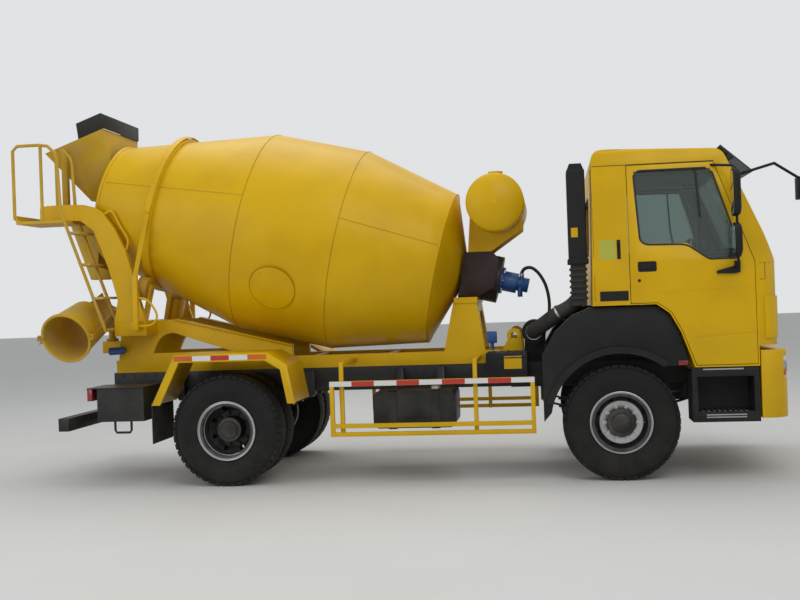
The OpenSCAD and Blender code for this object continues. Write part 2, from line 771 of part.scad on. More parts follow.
module chute_extension() color(yellow) from_front_axle() on_chute() {
    difference() {
        translate([chute_l - extension_l, 0, chute_lift]) union() {
            trough(chute_r_top + 4, chute_r_out, extension_l, 10);
            translate([extension_l - 30, 0, 0]) trough(rim_r, rim_r, 30, 24);
        }
        translate([-500, -500, chute_lift + 3 - 600]) cube([2500, 1000, 600]);
    }
    both_sides() difference() {
        union() {
            block([chute_l - 30, chute_l - 12], [rim_r - 10, fold_y + 40], [chute_lift + 7, chute_lift + 35]);
            block([chute_l - 30, fold_u], [fold_y + 28, fold_y + 40], [chute_lift - 12, chute_lift + 35]);
            translate([fold_u, fold_y + 40, chute_lift]) rotate([90, 0, 0]) cylinder(h = 12, d = 32);
        }
        translate([fold_u, fold_y + 41, chute_lift]) rotate([90, 0, 0])
            cylinder(h = 14, d = fold_pin_d + 2 * run_fit);
    }
}

// Cab

half_cab = cab_w / 2;
nose_x = 1465;
// Top of the sill under the doors, and of the floor over it
sill_z = 1640;
cab_floor = sill_z + cab_wall;
door_top = roof_h - 170;
glass_top = roof_h - 230;

cab_outline = concat([[-cab_rear, sill_z]], [[-cab_rear + 30, roof_h - 120]],
    arc([-cab_rear + 130, roof_h - 100], 100, 170, 92, 4), arc([900, roof_h - 165], 120, 85, 20, 4),
    [[1400, waist_h + 20], [nose_x - 10, waist_h - 80], [nose_x, 1600], [nose_x - 5, 1235], [1245, 1235],
    [1245, 1000], [690, 1000], [640, 1160], [560, 1380], [470, 1550], [350, sill_z]]);

module cab_solid(inset = 0) {
    intersection() {
        side_view(-half_cab, half_cab) offset(delta = -inset) polygon(cab_outline);
        plan_view(900, roof_h + 100) offset(delta = -inset) polygon(concat(
            [[-cab_rear - 1, -half_cab], [nose_x - 260, -half_cab]],
            arc([nose_x - 230, -half_cab + 200], 200, 275, 350, 5),
            arc([nose_x - 230, half_cab - 200], 200, 10, 85, 5), [[nose_x - 260, half_cab],
            [-cab_rear - 1, half_cab]]));
        end_view(-cab_rear - 10, nose_x + 10) offset(delta = -inset) polygon(concat(
            [[half_cab, 900], [half_cab, waist_h]], arc([half_cab - 170, roof_h - 90], 110, 20, 88, 5),
            arc([-half_cab + 170, roof_h - 90], 110, 92, 160, 5), [[-half_cab, waist_h], [-half_cab, 900]]));
    }
}

module door_outline(grow = 0) {
    offset(delta = grow) polygon([[120, sill_z + 15], [360, sill_z + 15], [484, 1562], [575, 1388],
        [655, 1168], [690, 1070], [1228, 1070], [1228, waist_h - 40], [900, door_top], [120, door_top]]);
}

module door_window() {
    polygon([[185, glass_top], [225, waist_h + 195], [270, waist_h + 160], [640, waist_h + 150],
        [800, waist_h + 30], [840, waist_h + 5], [1120, waist_h + 5], [870, glass_top]]);
}

module windscreen_outline() {
    polygon([[-1090, waist_h + 50], [1090, waist_h + 50], [1000, roof_h - 220], [-1000, roof_h - 220]]);
}

module rear_window_outline() {
    polygon([[-420, waist_h + 110], [420, waist_h + 110], [420, roof_h - 400], [-420, roof_h - 400]]);
}

tunnel_y = 400;
tunnel_top = 1560;
// Clear space over the frame rails under the cab floor
rail_bay_y = half_frame + 40;
rail_bay_top = frame_top + 30;

module cab_shell() color(yellow) from_front_axle() {
    difference() {
        cab_solid();
        difference() {
            cab_solid(cab_wall);
            block([-cab_rear - 1, 1000 + 20], [-tunnel_y - 20, tunnel_y + 20], [900, tunnel_top + 20]);
            block([-cab_rear - 1, 1300], [-rail_bay_y - 20, rail_bay_y + 20], [900, rail_bay_top + 20]);
        }
        block([-cab_rear - 10, 1000], [-tunnel_y, tunnel_y], [900, tunnel_top]);
        block([-cab_rear - 10, 1280], [-rail_bay_y, rail_bay_y], [900, rail_bay_top]);
        both_sides() side_view(half_cab - cab_wall - 70, half_cab + 1) door_outline(door_gap);
        end_view(800, nose_x + 10) windscreen_outline();
        end_view(-cab_rear - 10, -cab_rear + 100) rear_window_outline();
        block([1300, nose_x + 10], [-900 - door_gap, 900 + door_gap], [1300 - door_gap, panel_top + door_gap]);
        both_sides() block([600, 1250], [half_cab - 60, half_cab + 1], [990, 1050]);
    }
    for (y = [-600, 0, 600]) {
        panel_barrel(y, 64, panel_pin_d);
        for (s = [-1, 1]) {
            panel_barrel(y + s * 22, 20, 12);
            block([1430, panel_hinge[0]], [y + s * 22 - 10, y + s * 22 + 10],
                [panel_top + door_gap, panel_top + door_gap + 8]);
        }
    }
    // Hinge arms
    both_sides() side_view(half_frame + 10, half_frame + 45) difference() {
        polygon([[tilt_x - 50, tilt_h], [tilt_x - 35, tilt_h - 35], [tilt_x, tilt_h - 50],
            [tilt_x + 35, tilt_h - 35], [tilt_x + 50, tilt_h], [tilt_x + 50, rail_bay_top + 5],
            [tilt_x - 50, rail_bay_top + 5]]);
        translate([tilt_x, tilt_h]) circle(d = tilt_d + 2 * run_fit);
    }
}

module cab_glass() color(glass) from_front_axle() {
    intersection() {
        difference() {
            cab_solid(15);
            cab_solid(23);
        }
        union() {
            end_view(800, nose_x + 10) windscreen_outline();
            end_view(-cab_rear - 10, -cab_rear + 100) rear_window_outline();
        }
    }
}

module cab_interior() color("#33363a") from_front_axle() {
    cushion_z = waist_h - 20;
    dash_z = [waist_h - 390, waist_h + 20, waist_h + 70];
    hub_z = waist_h + 80;
    both_sides() {
        block([-60, 430], [450, 950], [cab_floor, cushion_z]);
        side_view(470, 930) polygon([[-60, cushion_z - 10], [60, cushion_z - 10], [-20, roof_h - 450],
            [-120, roof_h - 450]]);
    }
    side_view(-1120, 1120) polygon([[1020, dash_z[0]], [1180, dash_z[0]], [1330, dash_z[1]],
        [1060, dash_z[2]], [980, dash_z[1] - 40]]);
    block([1020, 1150], [-100, 100], [rail_bay_top + 20, dash_z[0] + 1]);
    translate([800, 700, hub_z]) rotate([0, -60, 0]) rotate_extrude() translate([215, 0]) circle(d = 30, $fn = 24);
    bar([800, 700, hub_z], [1030, 700, hub_z - 130], 50);
    for (a = [0, 120, 240]) translate([800, 700, hub_z]) rotate([0, -60, 0]) rotate([0, 0, a])
        translate([0, -12, -8]) cube([215, 24, 16]);
}

module cab_steps() color(black) from_front_axle() both_sides() difference() {
    block([640, 1238], [900, 1240], [545, 1045]);
    block([690, 1190], [930, 1241], [640, 960]);
    block([600, 1250], [890, half_cab - 60], [1000, 1050]);
}

lamp_y = [840, 1180];
lamp_z = [930, 1130];

module bumper_plan(inset = 0) {
    offset(delta = -inset) polygon(concat([[1255, -1240], [1300, -1240]],
        arc([1330, -1060], 180, 275, 355, 6), arc([1330, 1060], 180, 5, 85, 6), [[1300, 1240], [1255, 1240]]));
}

module front_bumper() color(yellow) from_front_axle() {
    difference() {
        plan_view(575, 1190) bumper_plan();
        plan_view(600, 1165) bumper_plan(45);
        both_sides() block([1350, 1600], lamp_y, lamp_z);
    }
    both_sides() block([1300, 1360], [600, 680], [1189, 1235]);
}

module headlamps() color("#cfd6d8") from_front_axle() both_sides() intersection() {
    plan_view(lamp_z[0], lamp_z[1]) bumper_plan(6);
    block([1360, 1600], lamp_y, lamp_z);
}

// Hinge line of the front panel, just ahead of the skin at its upper edge
panel_top = waist_h - 140;
panel_hinge = [1442, panel_top + door_gap / 2];
panel_pin_d = 6;

module panel_barrel(y, w, d) {
    translate([panel_hinge[0], y + w / 2, panel_hinge[1]]) rotate([90, 0, 0]) cylinder(h = w, d = d);
}

module front_panel() color(yellow) from_front_axle() difference() {
    union() {
        intersection() {
            difference() {
                cab_solid();
                cab_solid(cab_wall);
            }
            block([1300, nose_x + 10], [-900, 900], [1300, panel_top]);
        }
        for (y = [-600, 0, 600]) {
            panel_barrel(y, 20, 12);
            block([1430, panel_hinge[0]], [y - 10, y + 10], [panel_top - 8, panel_top]);
        }
    }
    for (y = [-600, 0, 600]) panel_barrel(y, 22, panel_pin_d + 2 * run_fit);
    for (i = [0:4]) block([1300, nose_x + 10], [-780, 780], [1400 + i * 80, 1440 + i * 80]);
}

module door(side) color(yellow) from_front_axle() on_side(side) difference() {
    intersection() {
        difference() {
            cab_solid();
            cab_solid(cab_wall);
        }
        side_view(half_cab - cab_wall - 60, half_cab + 1) door_outline();
    }
    side_view(half_cab - 300, half_cab + 1) door_window();
}

module door_glass(side) color(glass) from_front_axle() on_side(side) intersection() {
    difference() {
        cab_solid(18);
        cab_solid(24);
    }
    side_view(half_cab - 200, half_cab + 1) door_window();
}

module mirrors(side) color(black) from_front_axle() on_side(side) {
    y = half_cab + 160;
    difference() {
        tube_run([[1060, half_cab - 10, waist_h - 80], [1060, y, waist_h - 80], [1060, y, roof_h - 240],
            [880, half_cab - 70, roof_h - 200]], 24);
        cab_solid();
    }
    block([1030, 1075], [y - 90, y + 90], [roof_h - 680, roof_h - 280]);
    block([1030, 1075], [y - 90, y + 90], [waist_h + 10, waist_h + 300]);
}

// Look-down mirror on an arm ahead of the right pillar
module front_mirror() color(black) from_front_axle() {
    difference() {
        tube_run([[1040, -1140, roof_h - 320], [1450, -1140, roof_h - 210], [1690, -1060, roof_h - 355]], 26);
        cab_solid();
    }
    block([front_reach - 90, front_reach], [-1170, -940], [roof_h - 540, roof_h - 340]);
}

// Tinted sheet ahead of the roof edge on three fins
module sun_visor() color(glass) from_front_axle() difference() {
    union() {
        side_view(-1110, 1110) translate([0, roof_h])
            polygon([[985, -8], [1272, -266], [1264, -274], [977, -16]]);
        for (y = [-1000, 0, 1000]) side_view(y - 8, y + 8) translate([0, roof_h])
            polygon([[940, -100], [981, -12], [1060, -90], [1040, -200]]);
    }
    cab_solid();
}

chassis_frame();
front_axle();
rear_axle();
engine_block();
fuel_tank();
battery_box();
front_fenders();
rear_fenders();
mudflaps();
side_guards();
rear_bumper();
chassis_lamps();
intake_stack();
drum_frame();
drum_gearbox();
hydraulic_motor();
hydraulic_hoses();
water_tank();
hold_down_strap();
rear_platform();
charge_hopper();
hopper_lip();
discharge_funnel();
knuckle(1);  // knuckle_left
knuckle(-1);  // knuckle_right
front_tyre(1);  // tyre_front_left
front_tyre(-1);  // tyre_front_right
front_wheel(1);  // wheel_front_left
front_wheel(-1);  // wheel_front_right
rear_tyres(1);  // tyres_rear_left
rear_tyres(-1);  // tyres_rear_right
rear_wheels(1);  // wheels_rear_left
rear_wheels(-1);  // wheels_rear_right
drum_shell();
roller(1);  // roller_left
roller(-1);  // roller_right
chute_swivel();
main_chute();
chute_extension();
cab_shell();
cab_glass();
cab_interior();
cab_steps();
front_bumper();
headlamps();
front_panel();
door(1);  // door_left
door(-1);  // door_right
door_glass(1);  // door_glass_left
door_glass(-1);  // door_glass_right
mirrors(1);  // mirrors_left
mirrors(-1);  // mirrors_right
front_mirror();
sun_visor();
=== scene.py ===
"""Finishes and small parts of a two-axle concrete mixer truck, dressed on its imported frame.

Metres, X forward, Y to the left, Z up. Places are given from the front axle, whose own place comes
from the frame's nodes, as do the drum's axis and the chute's pin.
"""
import json
import logging
import math
from dataclasses import dataclass, field
from enum import Enum
from typing import Iterable, Self, Sequence

import bmesh
import bpy
from mathutils import Matrix, Vector


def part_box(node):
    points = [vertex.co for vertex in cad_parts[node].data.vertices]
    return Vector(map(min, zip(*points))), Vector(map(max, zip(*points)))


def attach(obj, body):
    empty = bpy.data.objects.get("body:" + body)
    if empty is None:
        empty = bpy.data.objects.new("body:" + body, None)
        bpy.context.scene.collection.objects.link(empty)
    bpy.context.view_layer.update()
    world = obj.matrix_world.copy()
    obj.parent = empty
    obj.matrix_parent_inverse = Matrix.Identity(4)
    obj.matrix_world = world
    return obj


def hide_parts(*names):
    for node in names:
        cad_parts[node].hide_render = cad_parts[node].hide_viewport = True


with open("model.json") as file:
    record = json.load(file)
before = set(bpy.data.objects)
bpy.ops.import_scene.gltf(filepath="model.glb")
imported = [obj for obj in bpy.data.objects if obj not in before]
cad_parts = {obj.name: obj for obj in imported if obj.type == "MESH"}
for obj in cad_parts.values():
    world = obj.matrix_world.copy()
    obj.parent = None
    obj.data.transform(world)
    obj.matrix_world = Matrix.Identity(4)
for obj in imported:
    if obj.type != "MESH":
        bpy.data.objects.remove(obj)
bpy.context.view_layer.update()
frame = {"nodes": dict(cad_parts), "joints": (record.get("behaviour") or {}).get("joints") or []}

LOG = logging.getLogger("mixer")
NODES: dict = frame["nodes"]
JOINTS: dict = {joint["name"]: joint for joint in frame["joints"]}
MM = 0.001
AHEAD, LEFT, UP = Vector((1, 0, 0)), Vector((0, 1, 0)), Vector((0, 0, 1))
# Names of the truck's sides and their factors of Y
SIDES = (("left", 1.0), ("right", -1.0))
BOTH = (1.0, -1.0)

Tree = bpy.types.NodeTree
Socket = bpy.types.NodeSocket
Colour = tuple[float, float, float, float]
Flat = tuple[float, float]


def middle(node: str) -> Vector:
    """Centre of a CAD node's box."""
    low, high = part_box(node)
    return (low + high) / 2


AXLE = middle("tyre_front_right")
REAR = middle("tyres_rear_right")
DRUM_AXIS = Vector(JOINTS["drum_spin"]["axis"]).normalized()
DRUM_START = Vector(JOINTS["drum_spin"]["pos_m"])


def at(x: float, y: float, z: float) -> Vector:
    """The place in the row frame that lies x ahead of the front axle, y to the left, z up."""
    return Vector((AXLE.x + x, y, z))


# Materials


def to_linear(code: str, alpha: float = 1.0) -> Colour:
    """Turns an sRGB hex colour into linear RGBA.

    Args:
        code: six hex digits.
        alpha: opacity of the result.

    Returns:
        Linear red, green, blue and alpha.
    """
    values = [int(code[i:i + 2], 16) / 255 for i in (0, 2, 4)]
    linear = [v / 12.92 if v <= 0.04045 else ((v + 0.055) / 1.055) ** 2.4 for v in values]
    return (*linear, alpha)


def add(tree: Tree, kind: str, settings: dict | None = None, out: str | int | None = None
        ) -> bpy.types.Node | Socket:
    """Adds one node with its settings and links.

    Args:
        tree: node tree of a material, world or modifier.
        kind: the node's type name.
        settings: attributes, values of inputs by name or position, and sockets that feed inputs.
        out: the output to return, by name or position.

    Returns:
        That output, or the new node.
    """
    node = tree.nodes.new(kind)
    for key, value in (settings or {}).items():
        if isinstance(value, Socket):
            tree.links.new(value, node.inputs[key])
        elif isinstance(key, str) and hasattr(node, key):
            setattr(node, key, value)
        else:
            node.inputs[key].default_value = value
    return node if out is None else node.outputs[out]


# Settings that many nodes share
SMOOTH = {"interpolation_type": "SMOOTHSTEP"}
COLOURS = {"data_type": "RGBA"}
TIMES = {"operation": "MULTIPLY"}


def start_material(name: str, shown: Colour) -> tuple[bpy.types.Material, Tree, Socket]:
    """Starts a node material.

    Args:
        name: name of the material.
        shown: its plain colour outside the renderer.

    Returns:
        The material, its empty tree, and the piece's Object coordinates.
    """
    material = bpy.data.materials.new(name)
    material.use_nodes = True
    material.diffuse_color = shown
    tree = material.node_tree
    tree.nodes.clear()
    return material, tree, add(tree, "ShaderNodeTexCoord", out="Object")


@dataclass(frozen=True)
class Finish:
    """A finish: base colour with tone drift, dust on low and level surfaces, and a fine grain.

    The grain is given in millimetres; sizes under about 4 mm would not show at this distance, so
    the coarsest plausible size is used.
    """

    name: str
    slot: str
    base: str
    drift: str
    roughness: float
    metallic: float = 0.0
    coat: float = 0.0
    ior: float = 1.5
    specular: float = 0.5
    grain_mm: float = 8.0
    grain_depth: float = 0.02
    drift_mm: float = 600.0
    dust: float = 0.3
    dust_colour: str = "8c857a"
    dust_top: float = 1.5
    dusty_roughness: float = 0.85
    splash: float = 0.0
    cement: str = "a8a49a"

    def build(self) -> bpy.types.Material:
        """Builds the node material, with all patterns on Object coordinates.

        Returns:
            The new material.
        """
        material, tree, place = start_material(self.name, to_linear(self.base))
        tone = add(tree, "ShaderNodeTexNoise", {
            "Scale": 1 / (self.drift_mm * MM), "Detail": 3.0, "Vector": place}, "Fac")
        tone = add(tree, "ShaderNodeMapRange", SMOOTH | {
            "Value": tone, "From Min": 0.35, "From Max": 0.65}, "Result")
        colour = add(tree, "ShaderNodeMix", COLOURS | {
            0: tone, 6: to_linear(self.base), 7: to_linear(self.drift)}, 2)
        film = add(tree, "ShaderNodeMath", TIMES | {
            0: self.dust_mask(tree, place), 1: self.dust}, 0)
        colour = add(tree, "ShaderNodeMix", COLOURS | {
            0: film, 6: colour, 7: to_linear(self.dust_colour)}, 2)
        rough = add(tree, "ShaderNodeMapRange", {
            "Value": film, "To Min": self.roughness, "To Max": self.dusty_roughness}, "Result")
        if self.splash > 0:
            spots = self.splash_mask(tree, place)
            colour = add(tree, "ShaderNodeMix", COLOURS | {
                0: spots, 6: colour, 7: to_linear(self.cement)}, 2)
            rough = add(tree, "ShaderNodeMix", {0: spots, 2: rough, 3: 0.9}, 0)
        surface = add(tree, "ShaderNodeBsdfPrincipled", {
            "Metallic": self.metallic, "Coat Weight": self.coat, "Coat Roughness": 0.08,
            "Base Color": colour, "Roughness": rough})
        if self.metallic < 0.5:
            surface.inputs["IOR"].default_value = self.ior
            surface.inputs["Specular IOR Level"].default_value = self.specular
        grain = add(tree, "ShaderNodeTexNoise", {
            "Scale": 1 / (self.grain_mm * MM), "Detail": 2.0, "Vector": place}, "Fac")
        bump = add(tree, "ShaderNodeBump", {
            "Strength": 1.0, "Distance": self.grain_depth * MM, "Height": grain}, "Normal")
        tree.links.new(bump, surface.inputs["Normal"])
        self.finish_surface(tree, surface, place)
        add(tree, "ShaderNodeOutputMaterial", {"Surface": surface.outputs[0]})
        return material

    def dust_mask(self, tree: Tree, place: Socket) -> Socket:
        """Road dust that thins out with height, broken up by noise.

        Args:
            tree: the material's tree.
            place: Object coordinates.

        Returns:
            The mask, 0 where the surface is clean.
        """
        height = add(tree, "ShaderNodeSeparateXYZ", {"Vector": place}, "Z")
        height = add(tree, "ShaderNodeMapRange", {
            "Value": height, "From Min": 0.1, "From Max": self.dust_top, "To Min": 1.0,
            "To Max": 0.12}, "Result")
        patch = add(tree, "ShaderNodeTexNoise", {
            "Scale": 5.0, "Detail": 6.0, "Roughness": 0.65, "Vector": place}, "Fac")
        patch = add(tree, "ShaderNodeMapRange", SMOOTH | {
            "Value": patch, "From Min": 0.3, "From Max": 0.75}, "Result")
        return add(tree, "ShaderNodeMath", TIMES | {0: height, 1: patch}, 0)

    def splash_mask(self, tree: Tree, place: Socket) -> Socket:
        """Dried cement spots 20 to 60 mm wide.

        Args:
            tree: the material's tree.
            place: Object coordinates.

        Returns:
            The mask, 0 between the spots.
        """
        spots = add(tree, "ShaderNodeTexNoise", {
            "Scale": 24.0, "Detail": 5.0, "Roughness": 0.7, "Vector": place}, "Fac")
        edge = 0.72 - 0.14 * self.splash
        spots = add(tree, "ShaderNodeMapRange", SMOOTH | {
            "Value": spots, "From Min": edge, "From Max": edge + 0.05}, "Result")
        return add(tree, "ShaderNodeMath", TIMES | {0: spots, 1: 0.85}, 0)

    def finish_surface(self, tree: Tree, surface: bpy.types.Node, place: Socket) -> None:
        """Hook for finishes with a pattern of their own."""


@dataclass(frozen=True)
class Glazing(Finish):
    """Toughened glass or clear acrylic: tinted, mirror smooth, with light dust."""

    tint_weight: float = 0.92

    def build(self) -> bpy.types.Material:
        """Builds a see-through material with a thin film of dust.

        Returns:
            The new material.
        """
        material, tree, place = start_material(self.name, to_linear(self.base, 0.35))
        haze = add(tree, "ShaderNodeTexNoise", {
            "Scale": 3.0, "Detail": 5.0, "Vector": place}, "Fac")
        haze = add(tree, "ShaderNodeMapRange", SMOOTH | {
            "Value": haze, "From Min": 0.35, "From Max": 0.8}, "Result")
        film = add(tree, "ShaderNodeMath", TIMES | {0: haze, 1: self.dust}, 0)
        colour = add(tree, "ShaderNodeMix", COLOURS | {
            0: film, 6: to_linear(self.base), 7: to_linear(self.dust_colour)}, 2)
        surface = add(tree, "ShaderNodeBsdfPrincipled", {
            "Roughness": self.roughness, "IOR": self.ior, "Transmission Weight": self.tint_weight,
            "Base Color": colour}, 0)
        add(tree, "ShaderNodeOutputMaterial", {"Surface": surface})
        return material


@dataclass(frozen=True)
class RetroTape(Finish):
    """Retroreflective film: small hexagonal cells under a clear face, drawn 12 mm wide to show."""

    cell_mm: float = 12.0

    def finish_surface(self, tree: Tree, surface: bpy.types.Node, place: Socket) -> None:
        """Makes the cell walls a little lighter than the cells.

        Args:
            tree: the material's tree.
            surface: its shader.
            place: Object coordinates.
        """
        cells = add(tree, "ShaderNodeTexVoronoi", {
            "feature": "DISTANCE_TO_EDGE", "Scale": 1 / (self.cell_mm * MM), "Randomness": 0.15,
            "Vector": place}, "Distance")
        wall = add(tree, "ShaderNodeMapRange", SMOOTH | {
            "Value": cells, "From Min": 0.0, "From Max": 0.12}, "Result")
        colour = add(tree, "ShaderNodeMix", COLOURS | {
            0: wall, 6: to_linear(self.drift), 7: to_linear(self.base)}, 2)
        tree.links.new(colour, surface.inputs["Base Color"])


@dataclass(frozen=True)
class WheelLacquer(Finish):
    """Polished wheel steel: bright on the lip and the nut face, darker in the dish between them
    with brake dust, painted shade and a painted dark reflection.
    """

    centre_x: float = 0.0
    face_r: float = 0.2
    lip_r: float = 0.262
    # Colour of the dish band: brake dust together with painted shade and a painted dark reflection
    dust_and_painted_shade: str = "26241f"

    def finish_surface(self, tree: Tree, surface: bpy.types.Node, place: Socket) -> None:
        """Darkens a band between two radii about the wheel's axis: brake dust together with painted
        shade and a painted dark reflection.

        Args:
            tree: the material's tree.
            surface: its shader.
            place: Object coordinates.
        """
        offset = add(tree, "ShaderNodeVectorMath", {
            "operation": "SUBTRACT", 0: place, 1: (self.centre_x, 0.0, AXLE.z)}, 0)
        offset = add(tree, "ShaderNodeVectorMath", TIMES | {0: offset, 1: (1.0, 0.0, 1.0)}, 0)
        radius = add(tree, "ShaderNodeVectorMath", {"operation": "LENGTH", 0: offset}, "Value")
        outside = add(tree, "ShaderNodeMapRange", SMOOTH | {
            "Value": radius, "From Min": self.face_r, "From Max": self.face_r + 0.012}, "Result")
        lip = add(tree, "ShaderNodeMapRange", SMOOTH | {
            "Value": radius, "From Min": self.lip_r - 0.008, "From Max": self.lip_r}, "Result")
        inside = add(tree, "ShaderNodeMath", {"operation": "SUBTRACT", 0: 1.0, 1: lip}, 0)
        # The band is brake dust together with painted shade and a painted dark reflection in the
        # dish
        dust_and_painted_shade = add(tree, "ShaderNodeMath", TIMES | {0: outside, 1: inside}, 0)
        patch = add(tree, "ShaderNodeTexNoise", {
            "Scale": 14.0, "Detail": 5.0, "Vector": place}, "Fac")
        patch = add(tree, "ShaderNodeMapRange", {"Value": patch, "To Min": 0.7, "To Max": 1.0},
                    "Result")
        dust_and_painted_shade = add(tree, "ShaderNodeMath", TIMES | {0: dust_and_painted_shade, 1: patch}, 0)
        colour, rough = (surface.inputs[name].links[0].from_socket
                         for name in ("Base Color", "Roughness"))
        tree.links.new(add(tree, "ShaderNodeMix", COLOURS | {
            0: dust_and_painted_shade, 6: colour, 7: to_linear(self.dust_and_painted_shade)}, 2), surface.inputs["Base Color"])
        tree.links.new(add(tree, "ShaderNodeMix", {0: dust_and_painted_shade, 2: rough, 3: 0.7}, 0),
                       surface.inputs["Roughness"])


@dataclass(frozen=True)
class Woven(Finish):
    """Seat cloth: a 6 mm basket weave in two greys."""

    weave_mm: float = 6.25

    def finish_surface(self, tree: Tree, surface: bpy.types.Node, place: Socket) -> None:
        """Checks the base and second colour like crossing yarns.

        Args:
            tree: the material's tree.
            surface: its shader.
            place: Object coordinates.
        """
        weave = add(tree, "ShaderNodeTexChecker", {
            "Color1": to_linear(self.base), "Color2": to_linear(self.drift),
            "Scale": 1 / (self.weave_mm * MM), "Vector": place}, "Color")
        tree.links.new(weave, surface.inputs["Base Color"])


# What the wheels' finishes share
WHEEL_STEEL = {"metallic": 0.85, "grain_mm": 8.0, "grain_depth": 0.06, "dust": 0.35,
               "dust_colour": "5a5148", "dust_top": 1.0}


class Paint(Enum):
    """The finishes of the truck."""

    # Two-pack synthetic enamel, sprayed: deep yellow with a clear gloss and faint orange peel
    YELLOW = Finish("synthetic_enamel_yellow", "paint_yellow", "dcb004", "d2a603", 0.4, coat=0.05,
                    specular=0.2, grain_mm=14.0, grain_depth=0.06, dust=0.24, dust_colour="a08850")
    # The same enamel where concrete runs over it: dried cement spots and a dull face
    YELLOW_WORN = Finish("synthetic_enamel_cement_stained", "paint_yellow", "cfa50c", "be950a",
                         0.55, coat=0.04, specular=0.25, grain_mm=14.0, grain_depth=0.2, dust=0.55,
                         dust_colour="a39a84", dust_top=6.0, splash=0.55)
    # Enamel over weld beads, darker to paint the thin shade along them
    SEAM = Finish("synthetic_enamel_grimy_seam", "paint_yellow", "bd9106", "a98206", 0.5,
                  specular=0.2, grain_mm=10.0, grain_depth=0.1, dust=0.3, dust_colour="6e5c30")
    # Brushed-on chassis enamel: satin black greyed by road dust
    CHASSIS = Finish("chassis_enamel_black", "paint_black", "111214", "161617", 0.45, coat=0.05,
                     specular=0.35, grain_mm=10.0, grain_depth=0.1, dust=0.45, dust_colour="5b554c")
    # Injection-moulded polypropylene: matt, with a leather-like grain
    MOULDED = Finish("moulded_polypropylene_black", "plastic_black", "0d0e0f", "111213", 0.6,
                     specular=0.3, grain_mm=5.0, grain_depth=0.25, dust=0.2, dust_colour="5f5a52")
    # Moulded ABS of the dashboard and seats' frames: dull mid grey
    MOULDED_GREY = Finish("moulded_abs_grey", "plastic_grey", "3c3e41", "34363a", 0.62,
                          grain_mm=4.0, grain_depth=0.2, dust=0.05)
    # Vulcanised tyre compound: near black, chalky with dust
    TYRE = Finish("tyre_compound", "tyre_rubber", "121313", "171616", 0.78, specular=0.3,
                  grain_mm=6.0, grain_depth=0.35, dust=0.2, dust_colour="5a554c", dust_top=1.0)
    # Extruded rubber of hoses, flaps, seals and the hopper lip: dull black that holds dust
    RUBBER = Finish("extruded_rubber", "rubber_black", "141414", "1a1a1a", 0.7, grain_mm=6.0,
                    grain_depth=0.2, dust=0.4, dust_colour="5f5a52", dust_top=4.0)
    # Polished pressed steel under clear lacquer: bright, with brake dust, painted shade and a
    # painted dark reflection in the dish
    RIM = WheelLacquer("polished_steel_front_wheel", "paint_silver", "b9bbbb", "a3a5a5", 0.3,
                       centre_x=AXLE.x, lip_r=0.279, **WHEEL_STEEL)
    # On the rear wheel the dark band fills the whole dish inside the lip: painted shade with brake
    # dust
    RIM_REAR = WheelLacquer("polished_steel_rear_wheel", "paint_silver", "b9bbbb", "a3a5a5", 0.3,
                            centre_x=REAR.x, face_r=-0.05, lip_r=0.274, **WHEEL_STEEL)
    # Forged steel of hubs and rear nuts: oily and dark; on the rear nuts the dark is also painted
    # shade deep in the wheel's dish
    STEEL_DARK = Finish("forged_steel_oiled", "paint_black", "2c2b2a", "35322f", 0.42, metallic=0.6,
                        grain_depth=0.2, dust=0.4)
    # Bright zinc plating on fasteners: pale grey mirror-like metal, lightly dusted
    ZINC = Finish("zinc_plated_steel", "bare_steel", "b9bcbd", "a6a7a4", 0.35, metallic=1.0,
                  grain_mm=6.0, grain_depth=0.05, dust=0.2)
    # Gearbox enamel: a dark brown red under a thin film of dust
    MAROON = Finish("gearbox_enamel_maroon", "paint_maroon", "2b1716", "241312", 0.45, coat=0.05,
                    specular=0.3, grain_mm=10.0, grain_depth=0.2, dust=0.12, dust_top=3.5)
    # Enamel of bought-in pumps and valves: clean mid blue with some gloss
    BLUE = Finish("pump_enamel_blue", "paint_blue", "17529c", "134587", 0.38, coat=0.1,
                  grain_mm=10.0, grain_depth=0.15, dust=0.25, dust_top=3.5)
    # Grey cast iron, as cast: sandy and dull
    IRON = Finish("cast_iron_grey", "engine_iron", "3a3b3b", "2e2e2f", 0.7, metallic=0.3,
                  grain_mm=6.0, grain_depth=0.6, dust=0.5)
    # Lamp lenses, moulded acrylic: glossy, with ribs that show as a faint waviness
    LENS_RED = Finish("acrylic_lens_red", "lamp_red", "8f1310", "7d0f0d", 0.12, coat=0.6,
                      ior=1.49, grain_mm=9.0, grain_depth=0.4, dust=0.15)
    LENS_AMBER = Finish("acrylic_lens_amber", "lamp_red", "d8670a", "c95b08", 0.12, coat=0.6,
                        ior=1.49, grain_mm=9.0, grain_depth=0.4, dust=0.15)
    LENS_CLEAR = Finish("acrylic_lens_clear", "lamp_clear", "c9ced0", "aeb4b7", 0.08, metallic=0.35,
                        coat=0.9, grain_mm=16.0, grain_depth=0.8, dust=0.1)
    # Aluminised reflector behind mirror glass: a near perfect mirror
    MIRROR = Finish("silvered_glass", "plastic_black", "d6dadb", "cfd4d5", 0.03, metallic=1.0,
                    grain_mm=60.0, grain_depth=0.01, dust=0.05)
    # Toughened window glass: clear with a green cast
    GLASS = Glazing("toughened_glass_green", "window_glass", "9fb0ab", "9fb0ab", 0.02, ior=1.45,
                    dust=0.12)
    # Smoked acrylic of the sun visor: dark, yet seen through
    SMOKED = Glazing("smoked_acrylic", "acrylic_smoked", "4a4c4e", "4a4c4e", 0.06, ior=1.49,
                     dust=0.2, tint_weight=0.75)
